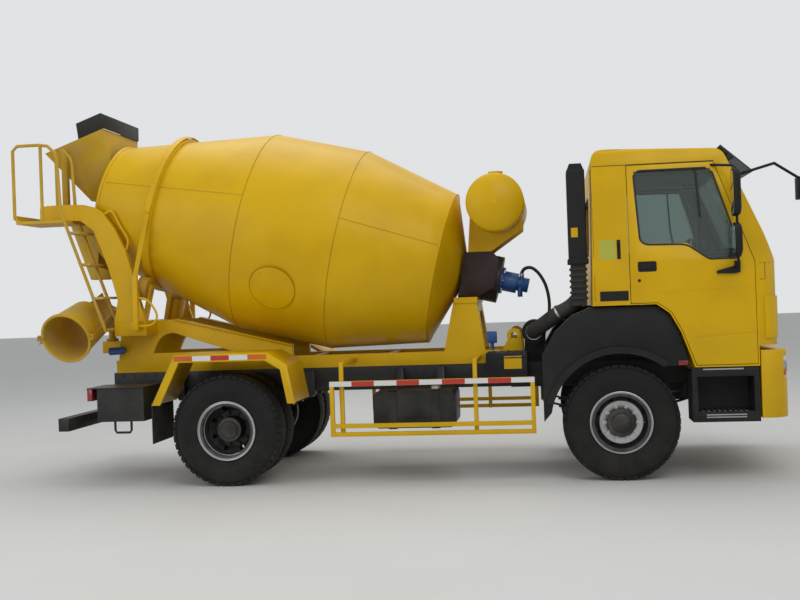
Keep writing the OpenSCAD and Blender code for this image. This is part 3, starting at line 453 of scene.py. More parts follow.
    # Retroreflective tape: bright under its clear face, with the cells just showing
    TAPE_WHITE = RetroTape("retroreflective_film_white", "lamp_clear", "d5d7d8", "f2f2f2", 0.25,
                           coat=0.5, dust=0.0)
    TAPE_RED = RetroTape("retroreflective_film_red", "lamp_red", "b01712", "d24a40", 0.25, coat=0.5,
                         dust=0.0)
    # Pale green blank sticker film
    STICKER = Finish("vinyl_sticker_pale_green", "paint_yellow", "b9b53c", "aeae3a", 0.5, dust=0.1)
    # Bright rolled aluminium tread plate
    TREAD_PLATE = Finish("rolled_aluminium_plate", "bare_steel", "aeb2b6", "9a9ea2", 0.34,
                         metallic=1.0, grain_mm=10.0, grain_depth=0.1, dust=0.15)
    # Woven seat cloth: two greys in a fine check, without gloss
    SEAT = Woven("basket_weave_cloth", "plastic_grey", "4b4d52", "3a3c40", 0.9, grain_mm=6.0,
                 grain_depth=0.5, dust=0.0)

    def material(self) -> bpy.types.Material:
        """The one material of this finish, built on first use."""
        return bpy.data.materials.get(self.value.name) or self.value.build()


# Shapes


def circle(radius: float, count: int, height: float = 0.0) -> list[Vector]:
    """Points of a circle about the Z axis."""
    turns = (2 * math.pi * k / count for k in range(count))
    return [Vector((radius * math.cos(a), radius * math.sin(a), height)) for a in turns]


def arc(centre: Flat, radius: float, start: float, end: float, steps: int = 24) -> list[Flat]:
    """Points of a flat arc between two angles in degrees."""
    turns = (math.radians(start + (end - start) * k / steps) for k in range(steps + 1))
    return [(centre[0] + radius * math.cos(a), centre[1] + radius * math.sin(a)) for a in turns]


def smooth_path(points: Sequence[Vector], steps: int) -> list[Vector]:
    """Rounds a route with a Catmull-Rom curve through its points.

    Args:
        points: places the route passes.
        steps: pieces between two places.

    Returns:
        The points of the rounded route.
    """
    ends = [2 * points[0] - points[1], *points, 2 * points[-1] - points[-2]]
    route = []
    for p0, p1, p2, p3 in zip(ends, ends[1:], ends[2:], ends[3:]):
        for t in (k / steps for k in range(steps)):
            route.append(0.5 * (2 * p1 + (p2 - p0) * t + (2 * p0 - 5 * p1 + 4 * p2 - p3) * t * t
                                + (3 * p1 - p0 - 3 * p2 + p3) * t ** 3))
    return route + [Vector(points[-1])]


def rounded(corners: Sequence[Flat], radius: float, steps: int = 5) -> list[Flat]:
    """Rounds the corners of a flat outline.

    Args:
        corners: points of the outline in order.
        radius: how far along each edge the rounding reaches.
        steps: pieces of each rounded corner.

    Returns:
        The points of the rounded outline.
    """
    result = []
    for before, corner, after in zip([corners[-1], *corners], corners, [*corners[1:], corners[0]]):
        before, corner, after = (Vector(p) for p in (before, corner, after))
        before, after = before - corner, after - corner
        reach = min(radius, before.length * 0.45, after.length * 0.45)
        a = corner + before.normalized() * reach
        b = corner + after.normalized() * reach
        result += [tuple(a * (1 - t) ** 2 + corner * 2 * t * (1 - t) + b * t ** 2)
                   for t in (k / steps for k in range(steps + 1))]
    return result


def rectangle(x: Flat, y: Flat, inset: float = 0.0) -> list[Flat]:
    """Corners of a flat rectangle between two limits each way, drawn in by an inset."""
    (x0, x1), (y0, y1) = (x[0] + inset, x[1] - inset), (y[0] + inset, y[1] - inset)
    return [(x0, y0), (x1, y0), (x1, y1), (x0, y1)]


def densify(points: Sequence[Flat], reach: float) -> list[Flat]:
    """Adds points to a closed flat outline.

    Args:
        points: the outline's points in order.
        reach: the furthest that two neighbours may lie apart.

    Returns:
        The denser outline.
    """
    result = []
    for a, b in zip(points, [*points[1:], points[0]]):
        steps = max(1, math.ceil(math.dist(a, b) / reach))
        result += [(a[0] + (b[0] - a[0]) * k / steps, a[1] + (b[1] - a[1]) * k / steps)
                   for k in range(steps)]
    return result


def axis_frame(origin: Vector, z_axis: Vector, x_hint: Vector) -> Matrix:
    """Makes a frame from its origin and two directions.

    Args:
        origin: the frame's origin.
        z_axis: direction of its Z axis.
        x_hint: a direction that its X axis lies towards.

    Returns:
        The frame's matrix.
    """
    z = z_axis.normalized()
    x = (x_hint - z * x_hint.dot(z)).normalized()
    return Matrix.Translation(origin) @ Matrix((x, z.cross(x), z)).transposed().to_4x4()


def skin(nodes: str, spot: Vector, way: Vector) -> Vector:
    """First point of some CAD nodes met by a ray.

    Args:
        nodes: names of the nodes, with spaces between.
        spot: a point that the ray passes, 1.5 m after its start.
        way: direction of the ray.

    Returns:
        The nearest hit, or the spot itself where nothing is met.
    """
    way = way.normalized()
    start = spot - way * 1.5
    casts = (NODES[name].ray_cast(start, way) for name in nodes.split())
    hits = [place.copy() for hit, place, _, _ in casts if hit]
    return min(hits, key=lambda place: (place - start).length, default=spot)


@dataclass
class Shape:
    """A mesh in the making, in metres of the row frame or about its own origin."""

    mesh: bmesh.types.BMesh = field(default_factory=bmesh.new, init=False)

    def loft(self, rings: Sequence[Sequence[Vector]], closed: bool = False, shift: int = 0
             ) -> Self:
        """Joins closed outlines of equal length into a solid.

        Args:
            rings: the outlines in order.
            closed: joins the last outline to the first instead of capping both.
            shift: points by which the first outline is turned when the last meets it.

        Returns:
            This shape.
        """
        rows = [[self.mesh.verts.new(p) for p in ring] for ring in rings]
        pairs = list(zip(rows, rows[1:]))
        if closed:
            pairs.append((rows[-1], rows[0][shift:] + rows[0][:shift]))
        else:
            self.mesh.faces.new(rows[0][::-1])
            self.mesh.faces.new(rows[-1])
        for a, b in pairs:
            for i, j in zip(range(len(a)), [*range(1, len(a)), 0]):
                self.mesh.faces.new((a[i], a[j], b[j], b[i]))
        return self

    def box(self, low: Sequence[float], high: Sequence[float], bevel: float = 0.0) -> Self:
        """Adds an upright box.

        Args:
            low: one corner.
            high: the opposite corner.
            bevel: width of the bevel on its edges.

        Returns:
            This shape.
        """
        size = [abs(b - a) for a, b in zip(low, high)]
        centre = Vector([(a + b) / 2 for a, b in zip(low, high)])
        made = bmesh.ops.create_cube(self.mesh, size=1.0, matrix=Matrix.Translation(centre)
                                     @ Matrix.Diagonal((*size, 1.0)))
        if bevel:
            edges = list({e for v in made["verts"] for e in v.link_edges})
            bmesh.ops.bevel(self.mesh, geom=edges, offset=bevel, segments=2, affect="EDGES",
                            profile=0.5)
        return self

    def prism(self, outline: Sequence[Vector], push: Vector) -> Self:
        """Adds a solid from a closed outline and the vector it is pushed along."""
        return self.loft([outline, [p + push for p in outline]])

    def band(self, first: Sequence[Vector], second: Sequence[Vector], push: Vector) -> Self:
        """Adds a strip between two lines of equal length, as thick as a vector."""
        return self.loft([(a, a + push, b + push, b) for a, b in zip(first, second)])

    def tube(self, points: Sequence[Vector], radius: float, sides: int = 10, closed: bool = False
             ) -> Self:
        """Sweeps a round section along a path, mitred at each point.

        Args:
            points: the centre line.
            radius: radius of the section.
            sides: corners of the section.
            closed: whether the last point joins the first.

        Returns:
            This shape.
        """
        rings = []
        normal = None
        for i, point in enumerate(points):
            before = points[i - 1] if closed or i else point
            after = points[(i + 1) % len(points)] if closed or i < len(points) - 1 else point
            along = (after - before).normalized()
            if normal is None:
                normal = along.orthogonal().normalized()
            normal = (normal - along * normal.dot(along)).normalized()
            side = along.cross(normal)
            rings.append([point + normal * p.x + side * p.y for p in circle(radius, sides)])
        shift = min(range(sides), key=lambda s: (rings[-1][0] - rings[0][s]).length)
        return self.loft(rings, closed, shift if closed else 0)

    def hoop(self, radius: float, thick: float, place: Matrix, count: int = 72, sides: int = 8,
             height: float = 0.0) -> Self:
        """Adds a ring of round section about the Z axis of a frame."""
        return self.tube([place @ p for p in circle(radius, count, height)], thick, sides, True)

    def lathe(self, profile: Sequence[Flat], place: Matrix, sides: int = 64) -> Self:
        """Turns a closed profile of (radius, height) pairs round the Z axis of a frame."""
        lines = [[place @ p for p in circle(r, sides, h)] for r, h in profile]
        return self.loft(list(zip(*lines)), closed=True)


@dataclass
class Piece(Shape):
    """A named piece with its finish, on the CAD body that carries it.

    boxes, tubes, plates and turned take metres from the front axle, and add each shape once for
    each of the sides, which are factors of Y.
    """

    name: str
    finish: Paint
    body: str = "chassis"
    smooth: bool = False
    sides: tuple[float, ...] = (1.0,)

    def boxes(self, *limits: Sequence[Flat], bevel: float = 0.0) -> Self:
        """Adds boxes.

        Args:
            limits: each box's limits along X, Y and Z.
            bevel: width of the bevel on their edges.

        Returns:
            This piece.
        """
        for x, y, z in limits:
            for side in self.sides:
                self.box(at(x[0], side * y[0], z[0]), at(x[1], side * y[1], z[1]), bevel)
        return self

    def tubes(self, *runs: tuple[float, Sequence[Sequence[float]]], steps: int = 0) -> Self:
        """Adds tubes.

        Args:
            runs: each tube's radius and points.
            steps: pieces between two points of a rounded route; 0 keeps it straight.

        Returns:
            This piece.
        """
        for radius, points in runs:
            for side in self.sides:
                route = [at(x, side * y, z) for x, y, z in points]
                self.tube(smooth_path(route, steps) if steps else route, radius, 12)
        return self

    def plates(self, *outlines: tuple[float, float, Sequence[Flat]]) -> Self:
        """Adds plates drawn in side view.

        Args:
            outlines: each plate's two faces along Y, and its outline.

        Returns:
            This piece.
        """
        for y0, y1, outline in outlines:
            for side in self.sides:
                self.prism([at(x, side * y0, z) for x, z in outline], LEFT * side * (y1 - y0))
        return self

    def arches(self, centre: Flat, radii: Flat, turn: Flat, y: Flat, steps: int) -> Self:
        """Adds a bent band drawn in side view.

        Args:
            centre: centre of its arcs along X and Z.
            radii: its inner and outer radius.
            turn: its first and last angle in degrees.
            y: its two faces along Y.
            steps: pieces of the arc.

        Returns:
            This piece.
        """
        for side in self.sides:
            inner, outer = ([at(x, side * y[0], z) for x, z in arc(centre, r, *turn, steps)]
                            for r in radii)
            self.band(inner, outer, LEFT * side * (y[1] - y[0]))
        return self

    def turned(self, *parts: tuple[Sequence[float], Sequence[float], float]) -> Self:
        """Adds round bars.

        Args:
            parts: each bar's two ends and its radius.

        Returns:
            This piece.
        """
        for start, end, radius in parts:
            a, way = at(*start), at(*end) - at(*start)
            self.lathe([(0.0, 0.0), (radius, 0.0), (radius, way.length), (0.0, way.length)],
                       axis_frame(a, way, way.orthogonal()), 32)
        return self

    def done(self, *replaced: str) -> bpy.types.Object:
        """Finishes the piece.

        Args:
            replaced: CAD nodes whose look it takes over.

        Returns:
            The new object.
        """
        bmesh.ops.remove_doubles(self.mesh, verts=self.mesh.verts, dist=1e-6)
        bmesh.ops.recalc_face_normals(self.mesh, faces=self.mesh.faces)
        mesh = bpy.data.meshes.new(self.name)
        self.mesh.to_mesh(mesh)
        self.mesh.free()
        if self.smooth:
            mesh.shade_smooth()
            mesh.set_sharp_from_angle(angle=math.radians(35))
        piece = place_mesh(self.name, mesh, self.finish, self.body)
        if replaced:
            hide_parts(*replaced)
        return piece


def place_mesh(name: str, mesh: bpy.types.Mesh, finish: Paint, body: str) -> bpy.types.Object:
    """Links a mesh as a piece with its finish and body, and logs it.

    Args:
        name: name of the piece.
        mesh: its mesh in the row frame.
        finish: its finish.
        body: CAD body that carries it.

    Returns:
        The new object.
    """
    piece = bpy.data.objects.new(name, mesh)
    mesh.materials.clear()
    mesh.materials.append(finish.material())
    bpy.context.scene.collection.objects.link(piece)
    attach(piece, body)
    LOG.info("piece %s on %s, %d faces, %s", name, body, len(mesh.polygons), finish.value.name)
    return piece


# Repeats by Geometry Nodes


class Layout(Enum):
    """How a repeated item is laid out."""

    RING = "ring"
    ROW = "row"


@dataclass(frozen=True)
class Repeat:
    """An item repeated by a Geometry Nodes modifier, about the Z axis or along a step."""

    layout: Layout
    count: int
    radius: float = 0.0
    step: tuple[float, float, float] = (0.0, 0.0, 0.0)

    def tree(self) -> Tree:
        """Builds the node group of this layout on first use.

        Returns:
            The node group, with its inputs open.
        """
        name = f"repeat_{self.layout.value}"
        if name in bpy.data.node_groups:
            return bpy.data.node_groups[name]
        tree = bpy.data.node_groups.new(name, "GeometryNodeTree")
        face = tree.interface
        face.new_socket("Geometry", in_out="OUTPUT", socket_type="NodeSocketGeometry")
        for label, kind in (("Item", "Object"), ("Count", "Int"), ("Radius", "Float"),
                            ("Step", "Vector"), ("Finish", "Material")):
            face.new_socket(label, in_out="INPUT", socket_type=f"NodeSocket{kind}")
        given = add(tree, "NodeGroupInput").outputs
        item = add(tree, "GeometryNodeObjectInfo", {"Object": given["Item"]}, "Geometry")
        if self.layout is Layout.RING:
            points = add(tree, "GeometryNodeMeshCircle", {
                "Vertices": given["Count"], "Radius": given["Radius"]}, "Mesh")
            index = add(tree, "GeometryNodeInputIndex", out=0)
            turn = add(tree, "ShaderNodeMath", {
                "operation": "DIVIDE", 0: index, 1: given["Count"]}, 0)
            turn = add(tree, "ShaderNodeMath", TIMES | {0: turn, 1: 2 * math.pi}, 0)
            facing = add(tree, "ShaderNodeCombineXYZ", {"Z": turn}, 0)
        else:
            points = add(tree, "GeometryNodeMeshLine", {
                "Count": given["Count"], "Offset": given["Step"]}, "Mesh")
            facing = add(tree, "ShaderNodeCombineXYZ", out=0)
        copies = add(tree, "GeometryNodeInstanceOnPoints", {
            "Points": points, "Instance": item, "Rotation": facing}, 0)
        solid = add(tree, "GeometryNodeRealizeInstances", {"Geometry": copies}, 0)
        dressed = add(tree, "GeometryNodeSetMaterial", {
            "Geometry": solid, "Material": given["Finish"]}, 0)
        add(tree, "NodeGroupOutput", {"Geometry": dressed})
        return tree

    def run(self, item: Shape, finish: Paint) -> bpy.types.Mesh:
        """Runs the modifier once.

        Args:
            item: one copy, about its own origin; its mesh is freed here.
            finish: the copies' finish.

        Returns:
            The repeated shape as a plain mesh in the layout's own frame.
        """
        bmesh.ops.recalc_face_normals(item.mesh, faces=item.mesh.faces)
        item_mesh = bpy.data.meshes.new("item")
        item.mesh.to_mesh(item_mesh)
        item.mesh.free()
        source = bpy.data.objects.new("item", item_mesh)
        carrier = bpy.data.objects.new("carrier", bpy.data.meshes.new("carrier"))
        for thing in (source, carrier):
            bpy.context.scene.collection.objects.link(thing)
        modifier = carrier.modifiers.new("repeat", "NODES")
        modifier.node_group = self.tree()
        values = {"Item": source, "Count": self.count, "Radius": self.radius, "Step": self.step,
                  "Finish": finish.material()}
        for socket in modifier.node_group.interface.items_tree:
            if socket.item_type == "SOCKET" and socket.in_out == "INPUT":
                modifier[socket.identifier] = values[socket.name]
        graph = bpy.context.evaluated_depsgraph_get()
        result = bpy.data.meshes.new_from_object(carrier.evaluated_get(graph))
        for thing in (carrier, source):
            bpy.data.objects.remove(thing)
        return result


def repeat_piece(name: str, repeats: Iterable[tuple[Repeat, Shape, Matrix]], finish: Paint,
                 body: str = "chassis") -> bpy.types.Object:
    """Joins several repeats into one finished piece on a body.

    Args:
        name: name of the piece.
        repeats: layout, one item, and the frame of the layout.
        finish: finish of all copies.
        body: CAD body that carries the piece.

    Returns:
        The new object.
    """
    joined = bmesh.new()
    for repeat, item, place in repeats:
        mesh = repeat.run(item, finish)
        mesh.transform(place)
        joined.from_mesh(mesh)
        bpy.data.meshes.remove(mesh)
    mesh = bpy.data.meshes.new(name)
    joined.to_mesh(mesh)
    joined.free()
    return place_mesh(name, mesh, finish, body)


def hex_nut(width: float, height: float, washer: float = 0.0) -> Shape:
    """A hexagon nut on the XY plane, by its width across corners, height and washer's radius."""
    nut = Shape().prism(circle(width / 2, 6), UP * height)
    return nut.prism(circle(washer, 12), UP * height * 0.25) if washer else nut


# Sub-assemblies


@dataclass
class CadFinishes:
    """Finishes and soft edges of the CAD nodes."""

    edge: float = 0.0025
    finishes: dict[Paint, str] = field(default_factory=lambda: {
        Paint.CHASSIS: "chassis_frame front_axle rear_axle rear_bumper fuel_tank "
                       "knuckle_left knuckle_right",
        Paint.IRON: "engine_block",
        Paint.MOULDED: "battery_box front_fenders intake_stack cab_steps mirrors_left "
                       "mirrors_right front_mirror",
        Paint.RUBBER: "mudflaps hydraulic_hoses hopper_lip",
        Paint.YELLOW: "rear_fenders side_guards drum_frame water_tank hold_down_strap drum_shell "
                      "cab_shell front_bumper front_panel door_left door_right",
        Paint.YELLOW_WORN: "roller_left roller_right rear_platform charge_hopper discharge_funnel "
                           "chute_swivel main_chute chute_extension",
        Paint.LENS_RED: "chassis_lamps",
        Paint.MAROON: "drum_gearbox",
        Paint.BLUE: "hydraulic_motor",
        Paint.TYRE: "tyre_front_left tyre_front_right tyres_rear_left tyres_rear_right",
        Paint.RIM: "wheel_front_left wheel_front_right",
        Paint.RIM_REAR: "wheels_rear_left wheels_rear_right",
        Paint.GLASS: "cab_glass door_glass_left door_glass_right",
        Paint.SMOKED: "sun_visor",
        Paint.MOULDED_GREY: "cab_interior",
        Paint.LENS_CLEAR: "headlamps",
    })

    def dress(self) -> None:
        """Gives every CAD node its finish and smooth curves, and all but panes a soft edge."""
        for finish, names in self.finishes.items():
            for name in names.split():
                node = NODES[name]
                node.data.materials.clear()
                node.data.materials.append(finish.material())
                node.data.polygons.foreach_set("use_smooth", [True] * len(node.data.polygons))
                node.modifiers.new("weld", "WELD").merge_threshold = 1e-5
                if finish in (Paint.GLASS, Paint.SMOKED):
                    split = node.modifiers.new("edges", "EDGE_SPLIT")
                    split.split_angle = math.radians(30)
                else:
                    bevel = node.modifiers.new("edges", "BEVEL")
                    bevel.width = self.edge
                    bevel.segments = 2
                    bevel.limit_method = "ANGLE"
                    bevel.angle_limit = math.radians(38)
                    bevel.harden_normals = True
                LOG.info("node %s, %s", name, finish.value.name)


@dataclass
class Tread:
    """Road tread of the six tyres: staggered shoulder lugs and centre blocks."""

    # Lugs of a row round the tyre, their height and the gap between them
    lugs: int = 46
    lug_h: float = 0.016
    groove: float = 0.012
    # Keeps the lugs just off the floor
    lift: float = 0.0013
    # Each row's place across the tyre, its width, its turn in lugs and its slant
    rows: tuple[tuple[float, ...], ...] = (
        (-0.098, 0.058, 0.0, 0.006), (0.098, 0.058, 0.5, -0.006),
        (-0.034, 0.052, 0.3, 0.012), (0.034, 0.052, 0.8, -0.012))

    def lug(self, width: float, length: float, slant: float) -> Shape:
        """Makes one tapered block that stands outwards along X.

        Args:
            width: its width across the tyre.
            length: its length round the tyre.
            slant: how far its sides run ahead or behind.

        Returns:
            The block about its own origin.
        """
        foot = [Vector((-0.012, s * length / 2 + slant * w, w * width / 2))
                for w, s in ((-1, -1), (1, -1), (1, 1), (-1, 1))]
        top = [Vector((self.lug_h, p.y * 0.88 + 0.12 * slant * p.z / abs(p.z), p.z * 0.94))
               for p in foot]
        return Shape().loft([foot, top])

    def wrap(self, name: str, node: str, body: str, centres: Sequence[float]) -> None:
        """Builds the tread of the tyres of one node.

        Args:
            name: name of the piece.
            node: CAD node of the tyres.
            body: body they ride on.
            centres: middle of each tyre across the truck.
        """
        low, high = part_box(node)
        hub = (low + high) / 2
        radius = (high.z - low.z) / 2 - self.lug_h - self.lift
        length = 2 * math.pi * radius / self.lugs
        rows = []
        for y in centres:
            for offset, width, turn, slant in self.rows:
                angle = turn * length / radius
                place = axis_frame(Vector((hub.x, y + offset, hub.z)), LEFT,
                                   Vector((math.cos(angle), 0, math.sin(angle))))
                rows.append((Repeat(Layout.RING, self.lugs, radius),
                             self.lug(width, length - self.groove, slant), place))
        repeat_piece(name, rows, Paint.TYRE, body)

    def build(self) -> None:
        """Treads every tyre; a rear node holds the two tyres of a twin."""
        for side, _ in SIDES:
            low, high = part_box(f"tyre_front_{side}")
            half = (high.y - low.y) / 2
            self.wrap(f"tread_front_{side}", f"tyre_front_{side}", f"front_wheel_{side}",
                      [(low.y + high.y) / 2])
            low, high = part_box(f"tyres_rear_{side}")
            self.wrap(f"tread_rear_{side}", f"tyres_rear_{side}", f"rear_wheels_{side}",
                      [low.y + half, high.y - half])


@dataclass
class WheelFittings:
    """Nut faces, nuts, hub caps, valve stems and rim edges of the wheels."""

    # A nut's width across corners and height, and the radius of the bolt circle
    nut: float = 0.037
    nut_h: float = 0.03
    circle_r: float = 0.1675
    # Radius of the front nut face, and its distance outwards from the tyre's middle
    face_r: float = 0.207
    face_y: float = 0.072
    cap_r: float = 0.134
    # Depth of the rear nut face inwards from the outer tyre's middle
    rear_face_y: float = 0.15
    edge_r: float = 0.287
    edge_y: float = 0.119
    step_r: float = 0.246

    def nuts(self, name: str, place: Matrix, finish: Paint, body: str) -> None:
        """Adds ten wheel nuts, each with its washer and the end of its stud.

        Args:
            name: name of the piece.
            place: frame of the bolt circle, Z outwards.
            finish: finish of the nuts.
            body: body they ride on.
        """
        stud = hex_nut(self.nut, self.nut_h, 0.023)
        stud.prism(circle(0.011, 10, self.nut_h - 0.002), UP * 0.014)
        repeat_piece(name, [(Repeat(Layout.RING, 10, self.circle_r), stud, place)], finish, body)

    def front(self, side: str, out: float) -> None:
        """Dresses a front wheel.

        Args:
            side: name of its side.
            out: factor of Y of that side.
        """
        body = f"front_wheel_{side}"
        face, edge, stem = (axis_frame(middle(f"tyre_front_{side}") + LEFT * out * y, LEFT * out,
                                       AHEAD) for y in (self.face_y, self.edge_y, 0.06))
        Piece(f"front_nut_face_{side}", Paint.RIM, body, smooth=True).lathe([
            (0.12, -0.004), (0.12, 0.004), (0.128, 0.009), (0.199, 0.009), (self.face_r, 0.002),
            (0.212, -0.01), (0.2, -0.01)], face).done()
        self.nuts(f"front_nuts_{side}", face @ Matrix.Translation((0, 0, 0.008)), Paint.ZINC, body)
        foot_r = self.cap_r + 0.006
        Piece(f"front_hub_cap_{side}", Paint.STEEL_DARK, body, smooth=True).lathe([
            (0.0, 0.0), (foot_r, 0.0), (foot_r, 0.012), (self.cap_r, 0.016), (self.cap_r, 0.05),
            (0.128, 0.058), (0.09, 0.062), (0.085, 0.088), (0.07, 0.094), (0.0, 0.096)],
            face).done()
        Piece(f"front_rim_edge_{side}", Paint.RIM, body, smooth=True).hoop(
            self.edge_r, 0.006, edge).done()
        bend = [stem @ Vector(p) for p in ((0.222, 0, 0), (0.222, 0, 0.03), (0.202, 0, 0.07))]
        Piece(f"front_valve_{side}", Paint.ZINC, body, smooth=True).tube(
            smooth_path(bend, 4), 0.004, 8).done()

    def rear(self, side: str, out: float) -> None:
        """Dresses the outer wheel of a rear twin.

        Args:
            side: name of its side.
            out: factor of Y of that side.
        """
        body = f"rear_wheels_{side}"
        (low, high), (front_low, front_high) = (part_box(node) for node in
                                                (f"tyres_rear_{side}", f"tyre_front_{side}"))
        half = (front_high.y - front_low.y) / 2
        outer = Vector(((low.x + high.x) / 2, (high.y if out > 0 else low.y) - out * half, AXLE.z))
        dish, edge, step = (axis_frame(outer + LEFT * out * y, LEFT * out, AHEAD)
                            for y in (-self.rear_face_y, self.edge_y, 0.06))
        # The rear nuts take the dark steel, unlike the zinc front nuts: painted shade deep in the
        # dish
        self.nuts(f"rear_nuts_{side}", dish, Paint.STEEL_DARK, body)
        Piece(f"rear_hub_cap_{side}", Paint.STEEL_DARK, body, smooth=True).lathe([
            (0.0, 0.0), (0.122, 0.0), (0.122, 0.15), (0.112, 0.17), (0.085, 0.172), (0.08, 0.185),
            (0.0, 0.19)], dish).done()
        Piece(f"rear_rim_edge_{side}", Paint.RIM_REAR, body, smooth=True).hoop(
            self.edge_r, 0.006, edge).done()
        Piece(f"rear_rim_step_{side}", Paint.ZINC, body, smooth=True).hoop(
            self.step_r, 0.006, step).done()

    def build(self) -> None:
        """Dresses all wheels that show."""
        for side, out in SIDES:
            self.front(side, out)
            self.rear(side, out)


@dataclass
class DrumDetails:
    """Weld seams, manhole and mixing blades of the drum."""

    # Edges of the shell's plates along its axis from the drive end, and its radii there
    head: float = 0.215
    front: float = 1.22
    rear: float = 2.22
    mouth: float = 3.885
    radius: float = 1.07
    mouth_r: float = 0.625
    head_r: float = 0.8
    # The manhole's place along the axis, its radius and its angle to the right of the top
    hatch_s: float = 1.766
    hatch_r: float = 0.232
    hatch_angle: float = math.atan2(0.933, -0.524)

    def profile(self, s: float) -> float:
        """Works out the shell's outer radius.

        Args:
            s: distance along the axis from the drive end.

        Returns:
            The radius there.
        """
        knots = ((0.0, 0.2), (self.head, self.head_r), (self.front, self.radius),
                 (self.rear, self.radius), (self.mouth, self.mouth_r))
        for (s0, r0), (s1, r1) in zip(knots, knots[1:]):
            if s <= s1:
                return r0 + (r1 - r0) * (s - s0) / (s1 - s0)
        return self.mouth_r

    def frame_at(self, s: float) -> Matrix:
        """Frame on the axis, Z backwards along it, X mostly up."""
        return axis_frame(DRUM_START + DRUM_AXIS * s, DRUM_AXIS, UP)

    def on_skin(self, s: float, angle: float, lift: float = 0.0) -> Vector:
        """A point on the shell; the angle counts from the top towards the left."""
        r = self.profile(s) + lift
        return self.frame_at(s) @ Vector((r * math.cos(angle), r * math.sin(angle), 0.0))

    def seams(self) -> None:
        """Weld beads round the shell at its edges and one along each plate."""
        # The beads wear the darker seam enamel, painted shade along the plate edges
        beads = Piece("drum_weld_seams", Paint.SEAM, "drum", smooth=True)
        for s in (self.head, self.front, self.rear):
            beads.hoop(self.profile(s), 0.004, self.frame_at(s), 96, 6)
        for s0, s1, angle in ((0.24, self.front, -1.3), (self.rear, 3.83, -1.26),
                              (self.front, self.rear, 1.9), (0.24, self.front, 1.84),
                              (self.rear, 3.83, 1.88)):
            beads.tube([self.on_skin(s0 + (s1 - s0) * k / 6, angle, -0.001) for k in range(7)],
                       0.0035, 6)
        beads.done()

    def manhole(self) -> None:
        """Round cover with its bolts on the right side of the shell."""
        centre = self.on_skin(self.hatch_s, -self.hatch_angle, -0.012)
        spot = axis_frame(centre, centre - DRUM_START - DRUM_AXIS * self.hatch_s, DRUM_AXIS)
        Piece("drum_manhole_cover", Paint.YELLOW, "drum", smooth=True).lathe([
            (0.0, 0.0), (self.hatch_r, 0.0), (self.hatch_r, 0.017), (self.hatch_r - 0.006, 0.02),
            (0.0, 0.021)], spot).done()
        # The ring wears the darker seam enamel, painted shade round the cover
        Piece("drum_manhole_seam", Paint.SEAM, "drum", smooth=True).hoop(
            self.hatch_r + 0.006, 0.004, spot, 64, 6, 0.014).done()
        repeat_piece("drum_manhole_bolts", [(Repeat(Layout.RING, 8, 0.2), hex_nut(0.02, 0.006),
                     spot @ Matrix.Translation((0, 0, 0.02)))], Paint.YELLOW, "drum")

    def blades(self) -> None:
        """Two spiral mixing blades on the inner face, seen through the mouth."""
        blades = Piece("drum_mixing_blades", Paint.YELLOW_WORN, "drum")
        for start in (0.0, math.pi):
            strip = []
            for t in (k / 96 for k in range(97)):
                s, angle, depth = 1.5 + t * 2.34, start + t * 2.2 * math.pi, 0.1 * t - 0.34
                strip.append([self.on_skin(s + along, angle, lift) for along, lift in
                              ((0.0, -0.006), (0.05, depth), (0.056, depth), (0.008, -0.006))])
            blades.loft(strip)
        blades.done()

    def build(self) -> None:
        """Builds all of the drum's details."""
        self.seams()
        self.manhole()
        self.blades()


@dataclass
class Tapes:
    """Reflective tape on the side guards and the rear fenders."""

    thick: float = 0.0012
    guard_lengths: int = 9
    # Limits of the guards' tape above the axle, and of the fenders' below their top
    guard_z: Flat = (0.409, 0.4555)
    fender_z: Flat = (-0.062, -0.014)
    # Limits along X from the rear axle
    fender_x: Flat = (-0.49, 0.44)

    def strip(self, piece: Piece, x: Flat, y: float, z: Flat) -> None:
        """Sticks a length of tape on both sides between limits along X and Z."""
        for out in BOTH:
            piece.box((x[0], out * y, z[0]), (x[1], out * (y + self.thick), z[1]))

    def build(self) -> None:
        """Sticks red and white lengths on the guards, and amber ones beside them on the fenders."""
        low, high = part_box("side_guards")
        length = (high.x - low.x) / self.guard_lengths
        for start, finish, label in ((0, Paint.TAPE_WHITE, "white"), (1, Paint.TAPE_RED, "red")):
            tape = Piece(f"guard_tape_{label}", finish)
            for i in range(start, self.guard_lengths, 2):
                self.strip(tape, (low.x + i * length, low.x + (i + 1) * length), high.y,
                           tuple(AXLE.z + z for z in self.guard_z))
            tape.done()
        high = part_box("rear_fenders")[1]
        kinds = (Paint.LENS_AMBER, Paint.TAPE_WHITE, Paint.TAPE_RED, Paint.TAPE_WHITE,
                 Paint.LENS_AMBER)
        start = REAR.x + self.fender_x[0]
        length = (self.fender_x[1] - self.fender_x[0]) / len(kinds)
        for finish in dict.fromkeys(kinds):
            tape = Piece(f"fender_tape_{finish.name.lower()}", finish)
            for i, kind in enumerate(kinds):
                if kind is finish:
                    self.strip(tape, (start + i * length, start + (i + 1) * length), high.y,
                               tuple(high.z + z for z in self.fender_z))
            tape.done()


